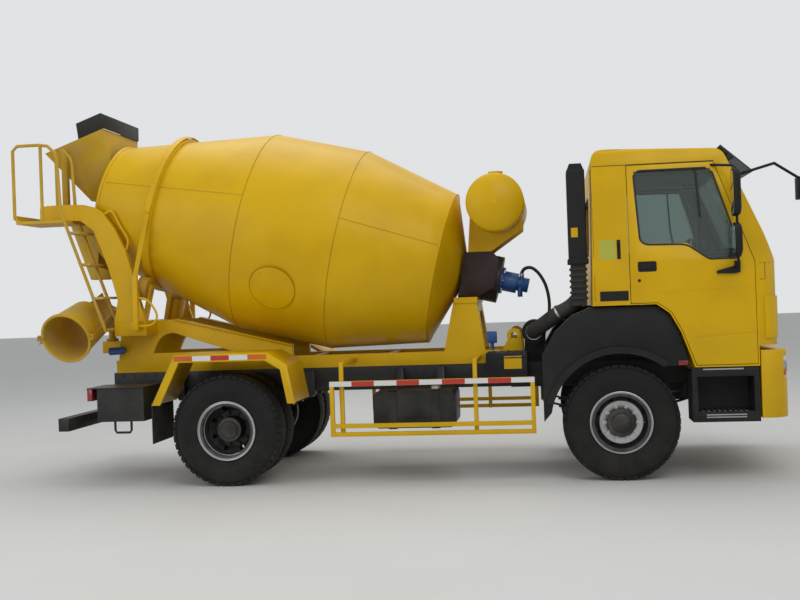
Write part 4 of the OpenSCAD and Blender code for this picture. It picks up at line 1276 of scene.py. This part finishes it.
@dataclass
class CabTrim:
    """Seals, handles, creases, blank plates, lamps, wipers, mirrors, nose pads and seat covers."""

    # Half of the cab's width at the waist, and the heights of its waist and roof
    half: float = 1.248
    waist: float = 2.04
    roof: float = 3.1
    seal_r: float = 0.009
    # Upper edge of the door windows
    window_top: float = 2.87
    # Height of the seam under the roof
    seam_z: float = 2.938
    mirror_y: float = 1.408
    mirror_half_w: float = 0.09
    seat_y: Flat = (0.46, 0.94)

    def side_point(self, nodes: str, x: float, z: float, side: float, lift: float = 0.0) -> Vector:
        """A point on the cab's side at a place given from the front axle."""
        return skin(nodes, at(x, 0.9 * side, z), LEFT * -side) + LEFT * side * lift

    def window_seals(self) -> None:
        """Rubber seals round the door windows, with the corners rounded, and their bars."""
        top, foot = self.window_top, self.waist
        outline = [(0.178, top + 0.007), (0.218, foot + 0.19), (0.27, foot + 0.15),
                   (0.636, foot + 0.14), (0.795, foot + 0.022), (0.835, foot - 0.004),
                   (1.132, foot - 0.004), (0.876, top + 0.007)]
        for side, out in SIDES:
            seal = Piece(f"door_window_seal_{side}", Paint.RUBBER, f"door_{side}", smooth=True)
            seal.tube([self.side_point(f"door_{side}", x, z, out, -0.002)
                       for x, z in densify(rounded(outline, 0.06), 0.08)], self.seal_r, 8, True)
            seal.tube([self.side_point(f"door_glass_{side}", x, z, out, 0.002) for x, z in
                       ((0.74, top - 0.006), (0.765, foot + 0.4), (0.795, foot + 0.03))], 0.011, 8)
            seal.done()

    def door_handles(self) -> None:
        """Black plates with a pull bar, and a lock below."""
        for side, out in SIDES:
            y = out * self.half
            handle = Piece(f"door_handle_{side}", Paint.MOULDED, f"door_{side}")
            cup = rounded(rectangle((0.19, 0.36), (1.94, 2.036)), 0.02)
            handle.prism([at(x, y - out * 0.002, z) for x, z in cup], LEFT * out * 0.0035)
            handle.box(at(0.212, y, 1.966), at(0.338, y + out * 0.011, 2.012), 0.005)
            handle.lathe([(0.0, 0.0), (0.014, 0.0), (0.014, 0.004), (0.01, 0.006), (0.0, 0.006)],
                         axis_frame(at(0.2, y, 1.862), LEFT * out, AHEAD), 20)
            handle.done()

    def door_creases(self) -> None:
        """Two pressed lines across each door."""
        lines = (((0.36, 1.745), (1.215, 1.775), 0.003), ((0.7, 1.33), (1.215, 1.365), 0.006))
        sunk, rise = 0.004, UP * 0.014
        for side, out in SIDES:
            crease = Piece(f"door_creases_{side}", Paint.YELLOW, f"door_{side}")
            for start, end, proud in lines:
                a, b = (self.side_point(f"door_{side}", *p, out, -sunk) for p in (start, end))
                crease.prism([a, a + rise, b + rise, b], LEFT * out * (proud + sunk))
            crease.done()

    def side_marks(self) -> None:
        """Blank plates, the vent slot and the roof seam on the cab's sides."""
        plates = ((Paint.STICKER, "blank_sticker", (-0.154, -0.006), (2.068, 2.245), 0.0008),
                  (Paint.MOULDED, "vent_slot", (0.008, 0.04), (2.068, 2.246), 0.004),
                  (Paint.MOULDED, "blank_plate", (-0.16, 0.098), (1.682, 1.772), 0.004))
        sunk = 0.003
        for side, out in SIDES:
            for finish, name, across, up, proud in plates:
                plate = Piece(f"cab_{name}_{side}", finish, "cab", sides=(out,))
                plate.prism([self.side_point("cab_shell", x, z, out, -sunk)
                             for x, z in rectangle(across, up)], LEFT * out * (proud + sunk))
                if name == "vent_slot":
                    plate.boxes(*[((across[0] + 0.004, across[1] - 0.004),
                                   (self.half + 0.001, self.half + 0.008), (z, z + 0.008))
                                  for z in (up[0] + 0.016 + k * 0.027 for k in range(6))])
                plate.done()
        seam = Piece("cab_roof_seam", Paint.RUBBER, "cab")
        for out in BOTH:
            seam.tube([self.side_point("cab_shell", x, self.seam_z, out, -0.001)
                       for x in (-0.2, 0.0, 0.3, 0.6, 0.9, 1.04)], 0.0035, 6)
            seam.tube([self.side_point("cab_shell", -0.205, z, out, -0.001)
                       for z in (1.68, 1.9, 2.1, 2.4, 2.7, self.seam_z)], 0.002, 6)
        seam.done()

    def screen_seals(self) -> None:
        """Seals of the windscreen and the rear window."""
        low, high = self.waist + 0.04, self.roof - 0.21
        front = [(-1.1, low), (1.1, low), (1.008, high), (-1.008, high)]
        rear = rectangle((-0.428, 0.428), (self.waist + 0.102, self.roof - 0.392))
        for name, outline, start, way in (("windscreen", front, 1.2, -AHEAD),
                                          ("rear_window", rear, -0.2, AHEAD)):
            ring = [skin("cab_shell", at(start, y, z), way)
                    for y, z in densify(rounded(outline, 0.07), 0.12)]
            Piece(f"{name}_seal", Paint.RUBBER, "cab", smooth=True).tube(
                ring, 0.011, 8, True).done()

    def on_screen(self, y: float, rise: float, lift: float) -> Vector:
        """A point in front of the windscreen, at a height above the waist."""
        return skin("cab_shell cab_glass", at(1.2, y, self.waist + rise), -AHEAD) + AHEAD * lift

    def wipers(self) -> None:
        """Two wiper arms with blades, resting along the foot of the windscreen."""
        wipers = Piece("windscreen_wipers", Paint.MOULDED, "cab", smooth=True)
        for pivot, tip in ((0.75, 0.12), (-0.1, -0.78)):
            base = self.on_screen(pivot, -0.03, 0.004)
            wipers.tube([base, base + Vector((0.02, 0, 0.01)),
                         self.on_screen((pivot + tip) / 2, 0.06, 0.03),
                         self.on_screen(tip, 0.13, 0.03)], 0.007, 8)
            wipers.lathe([(0.0, 0.0), (0.022, 0.0), (0.02, 0.022), (0.0, 0.026)],
                         axis_frame(base - AHEAD * 0.006, AHEAD, UP), 20)
            blade = [self.on_screen(tip + dy, 0.13 + dy * 0.12, 0.012)
                     for dy in (-0.3, -0.15, 0.0, 0.15, 0.3)]
            for a, b in zip(blade, blade[1:]):
                wipers.tube([a, b], 0.007, 6)
        wipers.done()

    def lamps(self) -> None:
        """Bowls and lens rings of the headlamps, and amber corner lamps."""
        bowls = Piece("headlamp_bowls", Paint.ZINC, "cab", smooth=True)
        corners = Piece("corner_lamps", Paint.LENS_AMBER, "cab")
        low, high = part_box("headlamps")
        for out in BOTH:
            for y in (0.895, 1.04):
                spot = skin("headlamps", Vector((high.x, y * out, (low.z + high.z) / 2)), -AHEAD)
                place = axis_frame(spot, AHEAD, UP)
                bowls.lathe([(0.066, -0.004), (0.07, 0.001), (0.066, 0.004), (0.06, 0.001)],
                            place, 40)
                bowls.lathe([(0.0, 0.0), (0.03, -0.002), (0.03, 0.001), (0.022, 0.005),
                             (0.0, 0.007)], place, 32)
            for share in (0.3, 0.5, 0.7):
                spot = Vector((high.x - 0.03, out * 1.1, low.z + share * (high.z - low.z)))
                bowls.lathe([(0.0, -0.004), (0.024, -0.004), (0.024, 0.002), (0.016, 0.005),
                             (0.0, 0.002)], axis_frame(skin("headlamps", spot, LEFT * -out),
                                                       Vector((0.4, out, 0)), UP), 24)
            spot = skin("headlamps", Vector((high.x, 1.14 * out, low.z + 0.05)), -AHEAD)
            corners.box(spot - Vector((0.02, 0.028, 0.03)), spot + Vector((0.003, 0.028, 0.03)),
                        0.004)
        bowls.done()
        corners.done()

    def mirrors(self) -> None:
        """Tube arms, rounded heads with a foot on the door, and silvered glasses at their backs."""
        half, y, roof = self.half, self.mirror_y, self.roof
        across = (y - self.mirror_half_w, y + self.mirror_half_w)
        for side, out in SIDES:
            arms = Piece(f"mirror_arms_{side}", Paint.MOULDED, f"door_{side}", smooth=True,
                         sides=(out,))
            arms.tubes((0.012, [
                (1.06, half - 0.004, 1.96), (1.06, y - 0.03, 1.96), (1.06, y, 1.985),
                (1.06, y, roof - 0.26), (1.05, y - 0.03, roof - 0.236),
                (0.88, half - 0.064, roof - 0.2)]))
            arms.plates((half - 0.003, half + 0.022, [
                (1.102, 2.01), (1.098, 1.905), (1.044, 1.895), (0.893, 1.9), (0.893, 1.925),
                (1.05, 1.965), (1.05, 2.01)]))
            panes = Piece(f"mirror_glass_{side}", Paint.MIRROR, f"door_{side}")
            for up, corner in (((roof - 0.69, roof - 0.272), 0.06),
                               ((self.waist + 0.006, self.waist + 0.304), 0.08)):
                arms.loft([[at(x, out * py, pz)
                            for py, pz in rounded(rectangle(across, up, inset), corner)]
                           for x, inset in ((1.026, 0.004), (1.03, -0.004), (1.066, -0.004),
                                            (1.084, 0.008), (1.094, 0.034))])
                panes.prism([at(1.0265, out * py, pz)
                             for py, pz in rounded(rectangle(across, up, 0.014), corner)],
                            AHEAD * -0.003)
            arms.done(f"mirrors_{side}")
            panes.done()

    def corner_panels(self) -> None:
        """Proud pads at the nose's lower corners, seams above them, and bars between slots."""
        for side, out in SIDES:
            lines = [[at(x, out * y, 1.3) for x, y in
                      [*arc((1.235, self.half - 0.2), r, 71, 10, 12), (1.432 + lift, 0.906)]]
                     for r, lift in ((0.196, -0.01), (0.214, 0.014))]
            Piece(f"nose_pad_{side}", Paint.YELLOW, "cab").band(*lines, UP * 0.38).done()
            seam = Piece(f"nose_seams_{side}", Paint.RUBBER, "cab")
            for route in ([(x, 1.985) for x in (1.268, 1.315, 1.36, 1.40)],
                          [(1.318, z) for z in (1.985, 1.93, 1.88, 1.835)],
                          [(x, 1.835) for x in (1.318, 1.295, 1.268)]):
                seam.tube([self.side_point("cab_shell", x, z, out, -0.001) for x, z in route],
                          0.003, 6)
            seam.done()
        depth = (1.425, 1.446)
        bars = Piece("panel_bars", Paint.YELLOW, "front_panel")
        bars.boxes(*[(depth, (-0.78, 0.78), z) for z in
                     ((1.305, 1.395), (1.445, 1.475), (1.525, 1.555), (1.605, 1.635))],
                   *[(depth, (y - 0.055, y + 0.055), (1.305, 1.68)) for y in (-0.838, 0.838)],
                   bevel=0.003).done()
        Piece("bumper_slots", Paint.MOULDED, "cab").boxes(*[
            ((1.49, 1.5115), (-0.46, 0.46), (0.69 + k * 0.055, 0.725 + k * 0.055))
            for k in range(3)]).done()

    def step_plates(self) -> None:
        """Bright edge plates of the steps and grips along their treads."""
        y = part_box("cab_steps")[1].y
        edge, grip = (y - 0.02, y + 0.002), (y - 0.24, y - 0.04)
        Piece("step_edge_plates", Paint.TREAD_PLATE, "cab", sides=BOTH).boxes(
            *[((0.76, 1.115), edge, (z, z + 0.011)) for z in (0.584, 0.606)],
            ((0.74, 1.1), edge, (1.022, 1.034)),
            *[((x, x + 0.02), grip, (0.64, 0.6435)) for x in (0.73 + k * 0.048 for k in range(9))]
        ).done()

    def seats(self) -> None:
        """Cloth covers on the cushions of the two seats."""
        Piece("seat_covers", Paint.SEAT, "cab", smooth=True, sides=BOTH).boxes(
            ((-0.05, 0.435), self.seat_y, (self.waist - 0.03, self.waist - 0.008)),
            bevel=0.01).done()

    def build(self) -> None:
        """Builds all trim of the cab."""
        for job in (self.window_seals, self.door_handles, self.door_creases, self.side_marks,
                    self.screen_seals, self.wipers, self.lamps, self.mirrors, self.corner_panels,
                    self.step_plates, self.seats):
            job()


@dataclass
class ChassisFittings:
    """Bolts, straps, caps, arch lips, air intake, drive fittings and tool box of the chassis."""

    rail: float = 0.43
    # Bolts along a rail, and their distance
    bolts: int = 34
    bolt_step: float = 0.12
    hose_y: Flat = (-0.045, 0.045)
    # Place of the motor's ports along X and the height of their faces
    port: Flat = (-0.905, 1.965)

    def frame_bolts(self) -> None:
        """Two rows of bolts along each rail."""
        rows = []
        for out in BOTH:
            for z in (0.88, 1.055):
                place = Matrix.Translation(at(-1.2, self.rail * out, z)) \
                    @ Matrix.Rotation(-out * math.pi / 2, 4, "X")
                rows.append((Repeat(Layout.ROW, self.bolts, step=(-self.bolt_step, 0.0, 0.0)),
                             hex_nut(0.024, 0.011, 0.015), place))
        repeat_piece("frame_bolts", rows, Paint.STEEL_DARK)

    def battery_mark(self) -> None:
        """Blank yellow square on the battery box, and the ribs of its lid."""
        low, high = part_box("battery_box")
        Piece("battery_blank_square", Paint.YELLOW).box(
            (AXLE.x - 1.083, low.y + 0.001, 1.057), (AXLE.x - 0.914, low.y - 0.0008, 1.181)).done()
        lid = Piece("battery_lid_ribs", Paint.MOULDED)
        for x in (low.x + 0.05 + k * 0.07 for k in range(5)):
            lid.box((x, low.y + 0.03, high.z - 0.001), (x + 0.03, low.y + 0.4, high.z + 0.006),
                    0.002)
        lid.box((low.x - 0.004, low.y - 0.004, high.z - 0.05),
                (high.x + 0.004, low.y + 0.02, high.z - 0.04)).done()

    def tank_fittings(self) -> None:
        """Filler cap of the fuel tank, and a strap over each of its brackets."""
        low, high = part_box("fuel_tank")
        spot = skin("fuel_tank", Vector((low.x + 0.6, low.y + 0.15, high.z)), -UP)
        Piece("fuel_tank_cap", Paint.ZINC, smooth=True).lathe([
            (0.0, -0.002), (0.055, -0.002), (0.055, 0.016), (0.05, 0.02), (0.05, 0.034),
            (0.04, 0.038), (0.0, 0.038)], axis_frame(spot, UP, AHEAD), 40).done()
        Piece("tank_straps", Paint.CHASSIS).boxes(*[
            ((x, x + 0.08), y, z) for x in (-2.21, -1.79) for y, z in
            (((-1.066, -0.5), (0.514, 0.521)), ((-1.066, -1.059), (0.514, 0.886)),
             ((-1.066, -0.5), (0.879, 0.886)))]).done()

    def arch_lips(self) -> None:
        """Rounded lips round the front wheel arches, proud of the fenders."""
        Piece("arch_lips", Paint.MOULDED, sides=BOTH).arches(
            (0.0, AXLE.z), (0.651, 0.715), (52, 164), (1.197, 1.214), 48).done()

    def intake(self) -> None:
        """Air intake: stack, ribbed bellows, collar, hose and filter; it takes the stack's look."""
        (x0, x1), (y0, y1) = (-0.43, -0.26), (-1.13, -0.85)
        duct = Piece("intake_duct", Paint.MOULDED)
        duct.boxes(((x0, x1), (y0, y1), (2.05, 2.93)), bevel=0.012)
        duct.plates((y0 + 0.006, y1 - 0.006, [(x0 + 0.004, 2.92), (x1 - 0.004, 2.92),
                                              (x1 - 0.03, 2.985), (x0 + 0.03, 2.985)]))
        duct.boxes(((x0 - 0.012, x1 + 0.012), (y0 - 0.012, y1 + 0.012), (2.04, 2.09)), bevel=0.006)
        duct.turned(((-0.79, -0.33, 1.4), (-0.79, -0.63, 1.4), 0.12),
                    ((-0.79, -0.60, 1.4), (-0.79, -0.642, 1.4), 0.1))
        duct.boxes(((-0.89, -0.69), (-0.428, -0.34), (1.088, 1.33))).done("intake_stack")
        soft = Piece("intake_bellows", Paint.RUBBER, smooth=True)
        soft.boxes(((x0 + 0.015, x1 - 0.015), (y0 + 0.025, y1 - 0.025), (1.65, 2.045)))
        soft.boxes(*[((x0 + 0.002, x1 - 0.002), (y0 + 0.008, y1 - 0.008), (z, z + 0.025))
                     for z in (1.705 + k * 0.055 for k in range(6))], bevel=0.006)
        soft.tubes((0.075, [(-0.345, -0.99, 1.72), (-0.43, -0.97, 1.64), (-0.56, -0.93, 1.57),
                            (-0.70, -0.82, 1.47), (-0.79, -0.70, 1.41), (-0.79, -0.56, 1.4)]),
                   steps=4).done()
        Piece("intake_clamps", Paint.ZINC).turned(
            ((-0.53, -0.94, 1.588), (-0.545, -0.935, 1.579), 0.081),
            ((-0.79, -0.66, 1.402), (-0.79, -0.644, 1.4), 0.081)).done()
        Piece("intake_blank_plate", Paint.YELLOW).boxes(
            ((-0.403, -0.341), (-1.1312, -1.129), (2.293, 2.381))).done()

    def drive_fittings(self) -> None:
        """Flange, bolts and ports of the motor, and hoses that loop down to the pump."""
        port_x, port_z = self.port
        spot = axis_frame(DRUM_START - DRUM_AXIS * 0.425, DRUM_AXIS, UP)
        motor = Piece("motor_ports", Paint.BLUE, smooth=True)
        motor.turned(*[((port_x, y, 1.88), (port_x, y, port_z), 0.023) for y in self.hose_y])
        motor.lathe([(0.0, 0.0), (0.14, 0.0), (0.14, 0.024), (0.0, 0.024)], spot, 48).done()
        repeat_piece("motor_flange_bolts", [(Repeat(Layout.RING, 8, 0.123), hex_nut(0.024, 0.014),
                     spot @ Matrix.Rotation(math.pi, 4, "X"))], Paint.ZINC)
        hoses = Piece("pump_hoses", Paint.RUBBER, smooth=True)
        for y in self.hose_y:
            hoses.tubes((0.017, [(x, y, z) for x, z in (
                (port_x, 1.96), (port_x, 2.0), (-0.87, 2.045), (-0.8, 2.05), (-0.725, 1.985),
                (-0.66, 1.86), (-0.63, 1.7), (-0.64, 1.55), (-0.69, 1.4), (-0.7, 1.2))]), steps=4)
        hoses.done("hydraulic_hoses")
        Piece("hose_crimps", Paint.ZINC, smooth=True).turned(*[
            ((x, y, z), (x, y, z + 0.045), 0.022) for y in self.hose_y
            for x, z in ((port_x, 1.95), (-0.7, 1.2))]).done()
        Piece("valve_block", Paint.BLUE, smooth=True).boxes(
            ((-1.27, -1.17), (-0.43, -0.36), (1.29, 1.41)), bevel=0.006).turned(
            ((-1.22, -0.395, 1.215), (-1.22, -0.395, 1.3), 0.02)).done()
        Piece("water_tank_cap", Paint.YELLOW, smooth=True).turned(
            ((-1.13, -0.3, 2.98), (-1.13, -0.3, 3.025), 0.065),
            ((-1.13, -0.3, 3.024), (-1.13, -0.3, 3.042), 0.075)).done()

    def frame_plates(self) -> None:
        """Cap of the front pedestal, flanges on the sloping beams and lifting eyes."""
        plates = Piece("frame_plates", Paint.YELLOW, sides=BOTH)
        plates.plates((0.33, 0.45, [(-3.3, 1.329), (-4.56, 1.639), (-4.56, 1.651), (-3.3, 1.341)]),
                      (0.429, 0.46, [(-1.3, 1.095), (-0.905, 1.095), (-0.923, 1.335),
                                     (-1.054, 1.335), (-1.12, 1.215), (-1.3, 1.215)]))
        plates.arches((-0.995, 1.365), (0.035, 0.0705), (-30, 210), (0.429, 0.46), 24)
        plates.box(at(-1.594, -0.442, 1.705), at(-1.352, 0.442, 1.766), 0.004).done()

    def tool_box(self) -> None:
        """Tool box behind the right rear wheels, with a shelf over the lamp and a step below."""
        chest = Piece("tool_box", Paint.CHASSIS)
        chest.boxes(((-5.14, -4.65), (-1.16, -0.7), (0.65, 0.98)), bevel=0.006)
        chest.boxes(((-5.245, -4.65), (-1.165, -0.7), (0.981, 0.99)),
                    ((-4.98, -4.81), (-0.701, -0.43), (0.9, 0.96)))
        chest.tubes((0.012, [(x, -1.1, z) for x, z in (
            (-4.98, 0.66), (-4.98, 0.56), (-4.965, 0.535), (-4.825, 0.535), (-4.81, 0.56),
            (-4.81, 0.66))])).done()

    def flap_bolts(self) -> None:
        """Clamping strips and bolts along the top of the mudflaps."""
        low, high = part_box("mudflaps")
        face, (y0, y1) = low.x - 0.004, (0.66, 1.21)
        strips = Piece("flap_strips", Paint.CHASSIS)
        rows = []
        for out in BOTH:
            strips.box((face, out * y0, high.z - 0.05), (low.x + 0.001, out * y1, high.z - 0.02))
            place = Matrix.Translation((face, min(out * y0, out * y1) + 0.05, high.z - 0.035)) \
                @ Matrix.Rotation(-math.pi / 2, 4, "Y") @ Matrix.Rotation(math.pi / 2, 4, "Z")
            rows.append((Repeat(Layout.ROW, 4, step=(0.15, 0.0, 0.0)), hex_nut(0.02, 0.008, 0.013),
                         place))
        strips.done()
        repeat_piece("flap_bolts", rows, Paint.ZINC)

    def build(self) -> None:
        """Builds the fittings."""
        for job in (self.frame_bolts, self.battery_mark, self.tank_fittings, self.arch_lips,
                    self.intake, self.drive_fittings, self.frame_plates, self.tool_box,
                    self.flap_bolts):
            job()


@dataclass
class RearFittings:
    """Platform with its railing and ladder, skins of the arms, grab handles and chute fittings."""

    # Foot of the ladder along X and Z, and how far it leans back for each metre of height
    foot: Flat = (-5.13, 1.56)
    lean: float = 0.35
    # The ladder's rails across the truck, and the radius of its tubes
    near: float = -0.93
    far: float = -0.58
    rail: float = 0.017
    # Height of the railing, and of the bend where the ladder meets the platform
    top: float = 3.49
    bend: float = 2.79
    bars: int = 22
    bar_step: float = 0.021

    def ladder_x(self, z: float) -> float:
        """Place of the leaning ladder along X at a height."""
        return self.foot[0] - (z - self.foot[1]) * self.lean

    def platform(self) -> None:
        """Platform on the ladder's side with railing, treads and bar floor; it takes the look."""
        near, far, top = self.near, self.far, self.top
        rear, front, low = -6.063, self.foot[0], self.foot[1]
        floor = Piece("platform_frame", Paint.YELLOW_WORN)
        floor.boxes(((-6.03, -5.525), (-0.95, -0.43), (2.68, 2.71)),
                    ((-6.04, -6.03), (-0.95, -0.43), (2.68, 2.77)),
                    ((-5.86, -5.6), (-0.735, 0.735), (2.846, 2.876)),
                    ((-5.13, -5.105), (-0.72, far - 0.01), (1.545, 1.575)),
                    *[((self.ladder_x(z) - 0.02, self.ladder_x(z) + 0.11), (near, far),
                       (z, z + 0.025)) for z in (1.88, 2.23, 2.56)])
        hook = [(-5.585, 3.33), (-5.605, 3.4), (-5.68, 3.475)]
        rails = Piece("platform_rails", Paint.YELLOW_WORN, smooth=True)
        rails.tubes((self.rail, [
            (-6.0, near, 2.695), (rear, near, 2.74), (rear, near, 3.44), (rear + 0.05, near, top),
            (-5.78, near, top), *[(x, near, z) for x, z in hook[::-1]], (-5.56, near, self.bend),
            (front, near, low + 0.02), (front, near, low), (front, far, low),
            (front, far, low + 0.02), (-5.56, far, self.bend), *[(x, far, z) for x, z in hook],
            (-5.76, far, top), (-5.76, far, 2.695)]),
            (self.rail, [(-5.76, near, 2.695), (-5.76, near, top)]))
        rails.tubes(*[(self.rail * 0.8, [(self.ladder_x(z), near, z), (self.ladder_x(z), far, z)])
                      for z in (1.89, 2.24, 2.57)]).done()
        floor.done("rear_platform")
        bar = Shape().box((-0.003, -0.25, -0.001), (0.003, 0.25, 0.004))
        repeat_piece("platform_grating", [(
            Repeat(Layout.ROW, self.bars, step=(self.bar_step, 0.0, 0.0)), bar,
            Matrix.Translation(at(-6.005, -0.69, 2.71)))], Paint.YELLOW_WORN)

    def arms(self) -> None:
        """Skins that give the arms their curved upper edge, and the grab handles beside them."""
        Piece("arm_skins", Paint.YELLOW, sides=BOTH).plates((0.678, 0.742, [
            (-5.1, 1.642), (-4.765, 1.642), (-4.8, 1.76), (-4.835, 1.88), (-4.895, 2.15),
            (-4.96, 2.378), (-5.07, 2.605), (-5.19, 2.774), (-5.29, 2.842), (-5.4, 2.872),
            (-5.56, 2.88), (-5.8, 2.88), (-5.88, 2.852), (-5.88, 2.709), (-5.44, 2.709),
            (-5.30, 2.6), (-5.15, 2.2), (-5.06, 1.87)])).done()
        Piece("grab_handles", Paint.YELLOW, smooth=True, sides=BOTH).tubes(
            (0.013, [(x, 0.71, z) for x, z in ((-5.195, 2.76), (-5.105, 2.79), (-5.02, 2.64),
                                               (-4.94, 2.49), (-4.96, 2.385))]),
            (0.011, [(x, 0.86, z) for x, z in ((-4.805, 1.88), (-4.7, 1.86), (-4.615, 1.75),
                                               (-4.6, 1.664), (-4.66, 1.6), (-4.8, 1.59))]),
            steps=5).done()
        screws = Piece("turnbuckles", Paint.ZINC, smooth=True, sides=BOTH)
        screws.turned(((-4.803, 0.866, 2.0), (-4.785, 0.866, 2.2), 0.011),
                      ((-4.80, 0.866, 2.06), (-4.792, 0.866, 2.14), 0.02)).done()

    def chute_fittings(self) -> None:
        """Lever on the chute's rear side, and the small blue cylinder beside its pedestal."""
        turn = Matrix.Translation(JOINTS["chute_tilt"]["pos_m"]) \
            @ Matrix.Rotation(math.radians(-94), 4, "Z") @ Matrix.Rotation(math.radians(22), 4, "Y")
        Piece("chute_lever", Paint.YELLOW_WORN, "chute", smooth=True).tube([
            turn @ Vector(p) for p in ((0.89, -0.245, 0.22), (0.89, -0.325, 0.205),
                                       (0.955, -0.325, 0.205), (0.955, -0.25, 0.22))],
            0.007, 8).done()
        Piece("chute_lock_cylinder", Paint.BLUE, smooth=True).lathe([
            (0.0, 0.0), (0.04, 0.0), (0.04, 0.15), (0.03, 0.158), (0.03, 0.175), (0.0, 0.175)],
            axis_frame(at(-5.27, -0.5, 1.325), Vector((1, 0, 0.05)), UP), 28).done()

    def build(self) -> None:
        """Builds the rear fittings."""
        self.platform()
        self.arms()
        self.chute_fittings()


@dataclass
class Studio:
    """Floor, backdrop, lamps and the camera that stands where the photographer stood."""

    eye: tuple[float, float, float] = (-0.62, -11.20, 1.7655)
    ahead: tuple[float, float, float] = (-0.1404, 0.9901, -0.0003)
    upwards: tuple[float, float, float] = (0.0357, 0.0051, 0.9993)
    lens: float = 47.6
    sensor: float = 36.0
    floor_colours: tuple[str, str] = ("d9d9d6", "d2d2cf")
    floor_reach: float = 60.0
    # Each lamp's place, width in metres and power in watts
    lamps: tuple[tuple[str, tuple[float, float, float], float, float], ...] = (
        ("key", (2.0, -9.0, 9.0), 7.0, 330.0), ("top", (-3.0, 2.0, 11.0), 9.0, 500.0),
        ("fill", (-9.0, -7.0, 4.0), 6.0, 120.0))
    aim: tuple[float, float, float] = (-2.0, 0.0, 1.5)

    def camera(self) -> None:
        """Places the camera on the view of the photograph."""
        data = bpy.data.cameras.new("camera")
        data.lens = self.lens
        data.sensor_width = self.sensor
        data.clip_end = 200.0
        camera = bpy.data.objects.new("camera", data)
        bpy.context.scene.collection.objects.link(camera)
        camera.matrix_world = axis_frame(at(*self.eye), -Vector(self.ahead),
                                         Vector(self.ahead).cross(Vector(self.upwards)))
        bpy.context.scene.camera = camera

    def ground(self) -> None:
        """A pale concrete floor that runs to the horizon."""
        base, drift = (to_linear(code) for code in self.floor_colours)
        material, tree, place = start_material("pale_studio_floor", base)
        cloud = add(tree, "ShaderNodeTexNoise", {
            "Scale": 0.8, "Detail": 4.0, "Vector": place}, "Fac")
        tone = add(tree, "ShaderNodeMix", COLOURS | {0: cloud, 6: base, 7: drift}, 2)
        surface = add(tree, "ShaderNodeBsdfPrincipled", {"Roughness": 0.8, "Base Color": tone}, 0)
        add(tree, "ShaderNodeOutputMaterial", {"Surface": surface})
        reach = (-self.floor_reach, self.floor_reach)
        mesh = bpy.data.meshes.new("studio_floor")
        mesh.from_pydata([(x, y, 0) for x, y in rectangle(reach, reach)], [], [(0, 1, 2, 3)])
        mesh.materials.append(material)
        floor = bpy.data.objects.new("studio_floor", mesh)
        bpy.context.scene.collection.objects.link(floor)

    def light(self) -> None:
        """An even overcast sky with a pale backdrop, and a broad soft key from the camera side."""
        world = bpy.data.worlds.new("overcast_studio")
        world.use_nodes = True
        bpy.context.scene.world = world
        tree = world.node_tree
        tree.nodes.clear()
        rays = add(tree, "ShaderNodeLightPath").outputs
        seen = rays["Is Camera Ray"]
        for name in ("Is Glossy Ray", "Is Transmission Ray"):
            seen = add(tree, "ShaderNodeMath", {"operation": "MAXIMUM", 0: seen, 1: rays[name]}, 0)
        sky, wall = (
            add(tree, "ShaderNodeBackground", {"Color": to_linear(code), "Strength": power}, 0)
            for code, power in (("f2f5f8", 0.5), ("e6e8ea", 0.95)))
        mixed = add(tree, "ShaderNodeMixShader", {0: seen, 1: sky, 2: wall}, 0)
        add(tree, "ShaderNodeOutputWorld", {"Surface": mixed})
        for name, spot, size, power in self.lamps:
            data = bpy.data.lights.new(name, "AREA")
            data.size = size
            data.energy = power
            lamp = bpy.data.objects.new(name, data)
            bpy.context.scene.collection.objects.link(lamp)
            lamp.matrix_world = axis_frame(at(*spot), at(*spot) - at(*self.aim), AHEAD)

    def build(self) -> None:
        """Sets up the whole studio."""
        self.camera()
        self.ground()
        self.light()
        bpy.context.scene.view_settings.view_transform = "Standard"


def main() -> None:
    """Builds every sub-assembly in order."""
    logging.basicConfig(level=logging.INFO, format="%(message)s")
    Studio().build()
    CadFinishes().dress()
    for assembly in (Tread(), WheelFittings(), DrumDetails(), CabTrim(), ChassisFittings(),
                     RearFittings(), Tapes()):
        assembly.build()


if __name__ == "__main__":
    main()
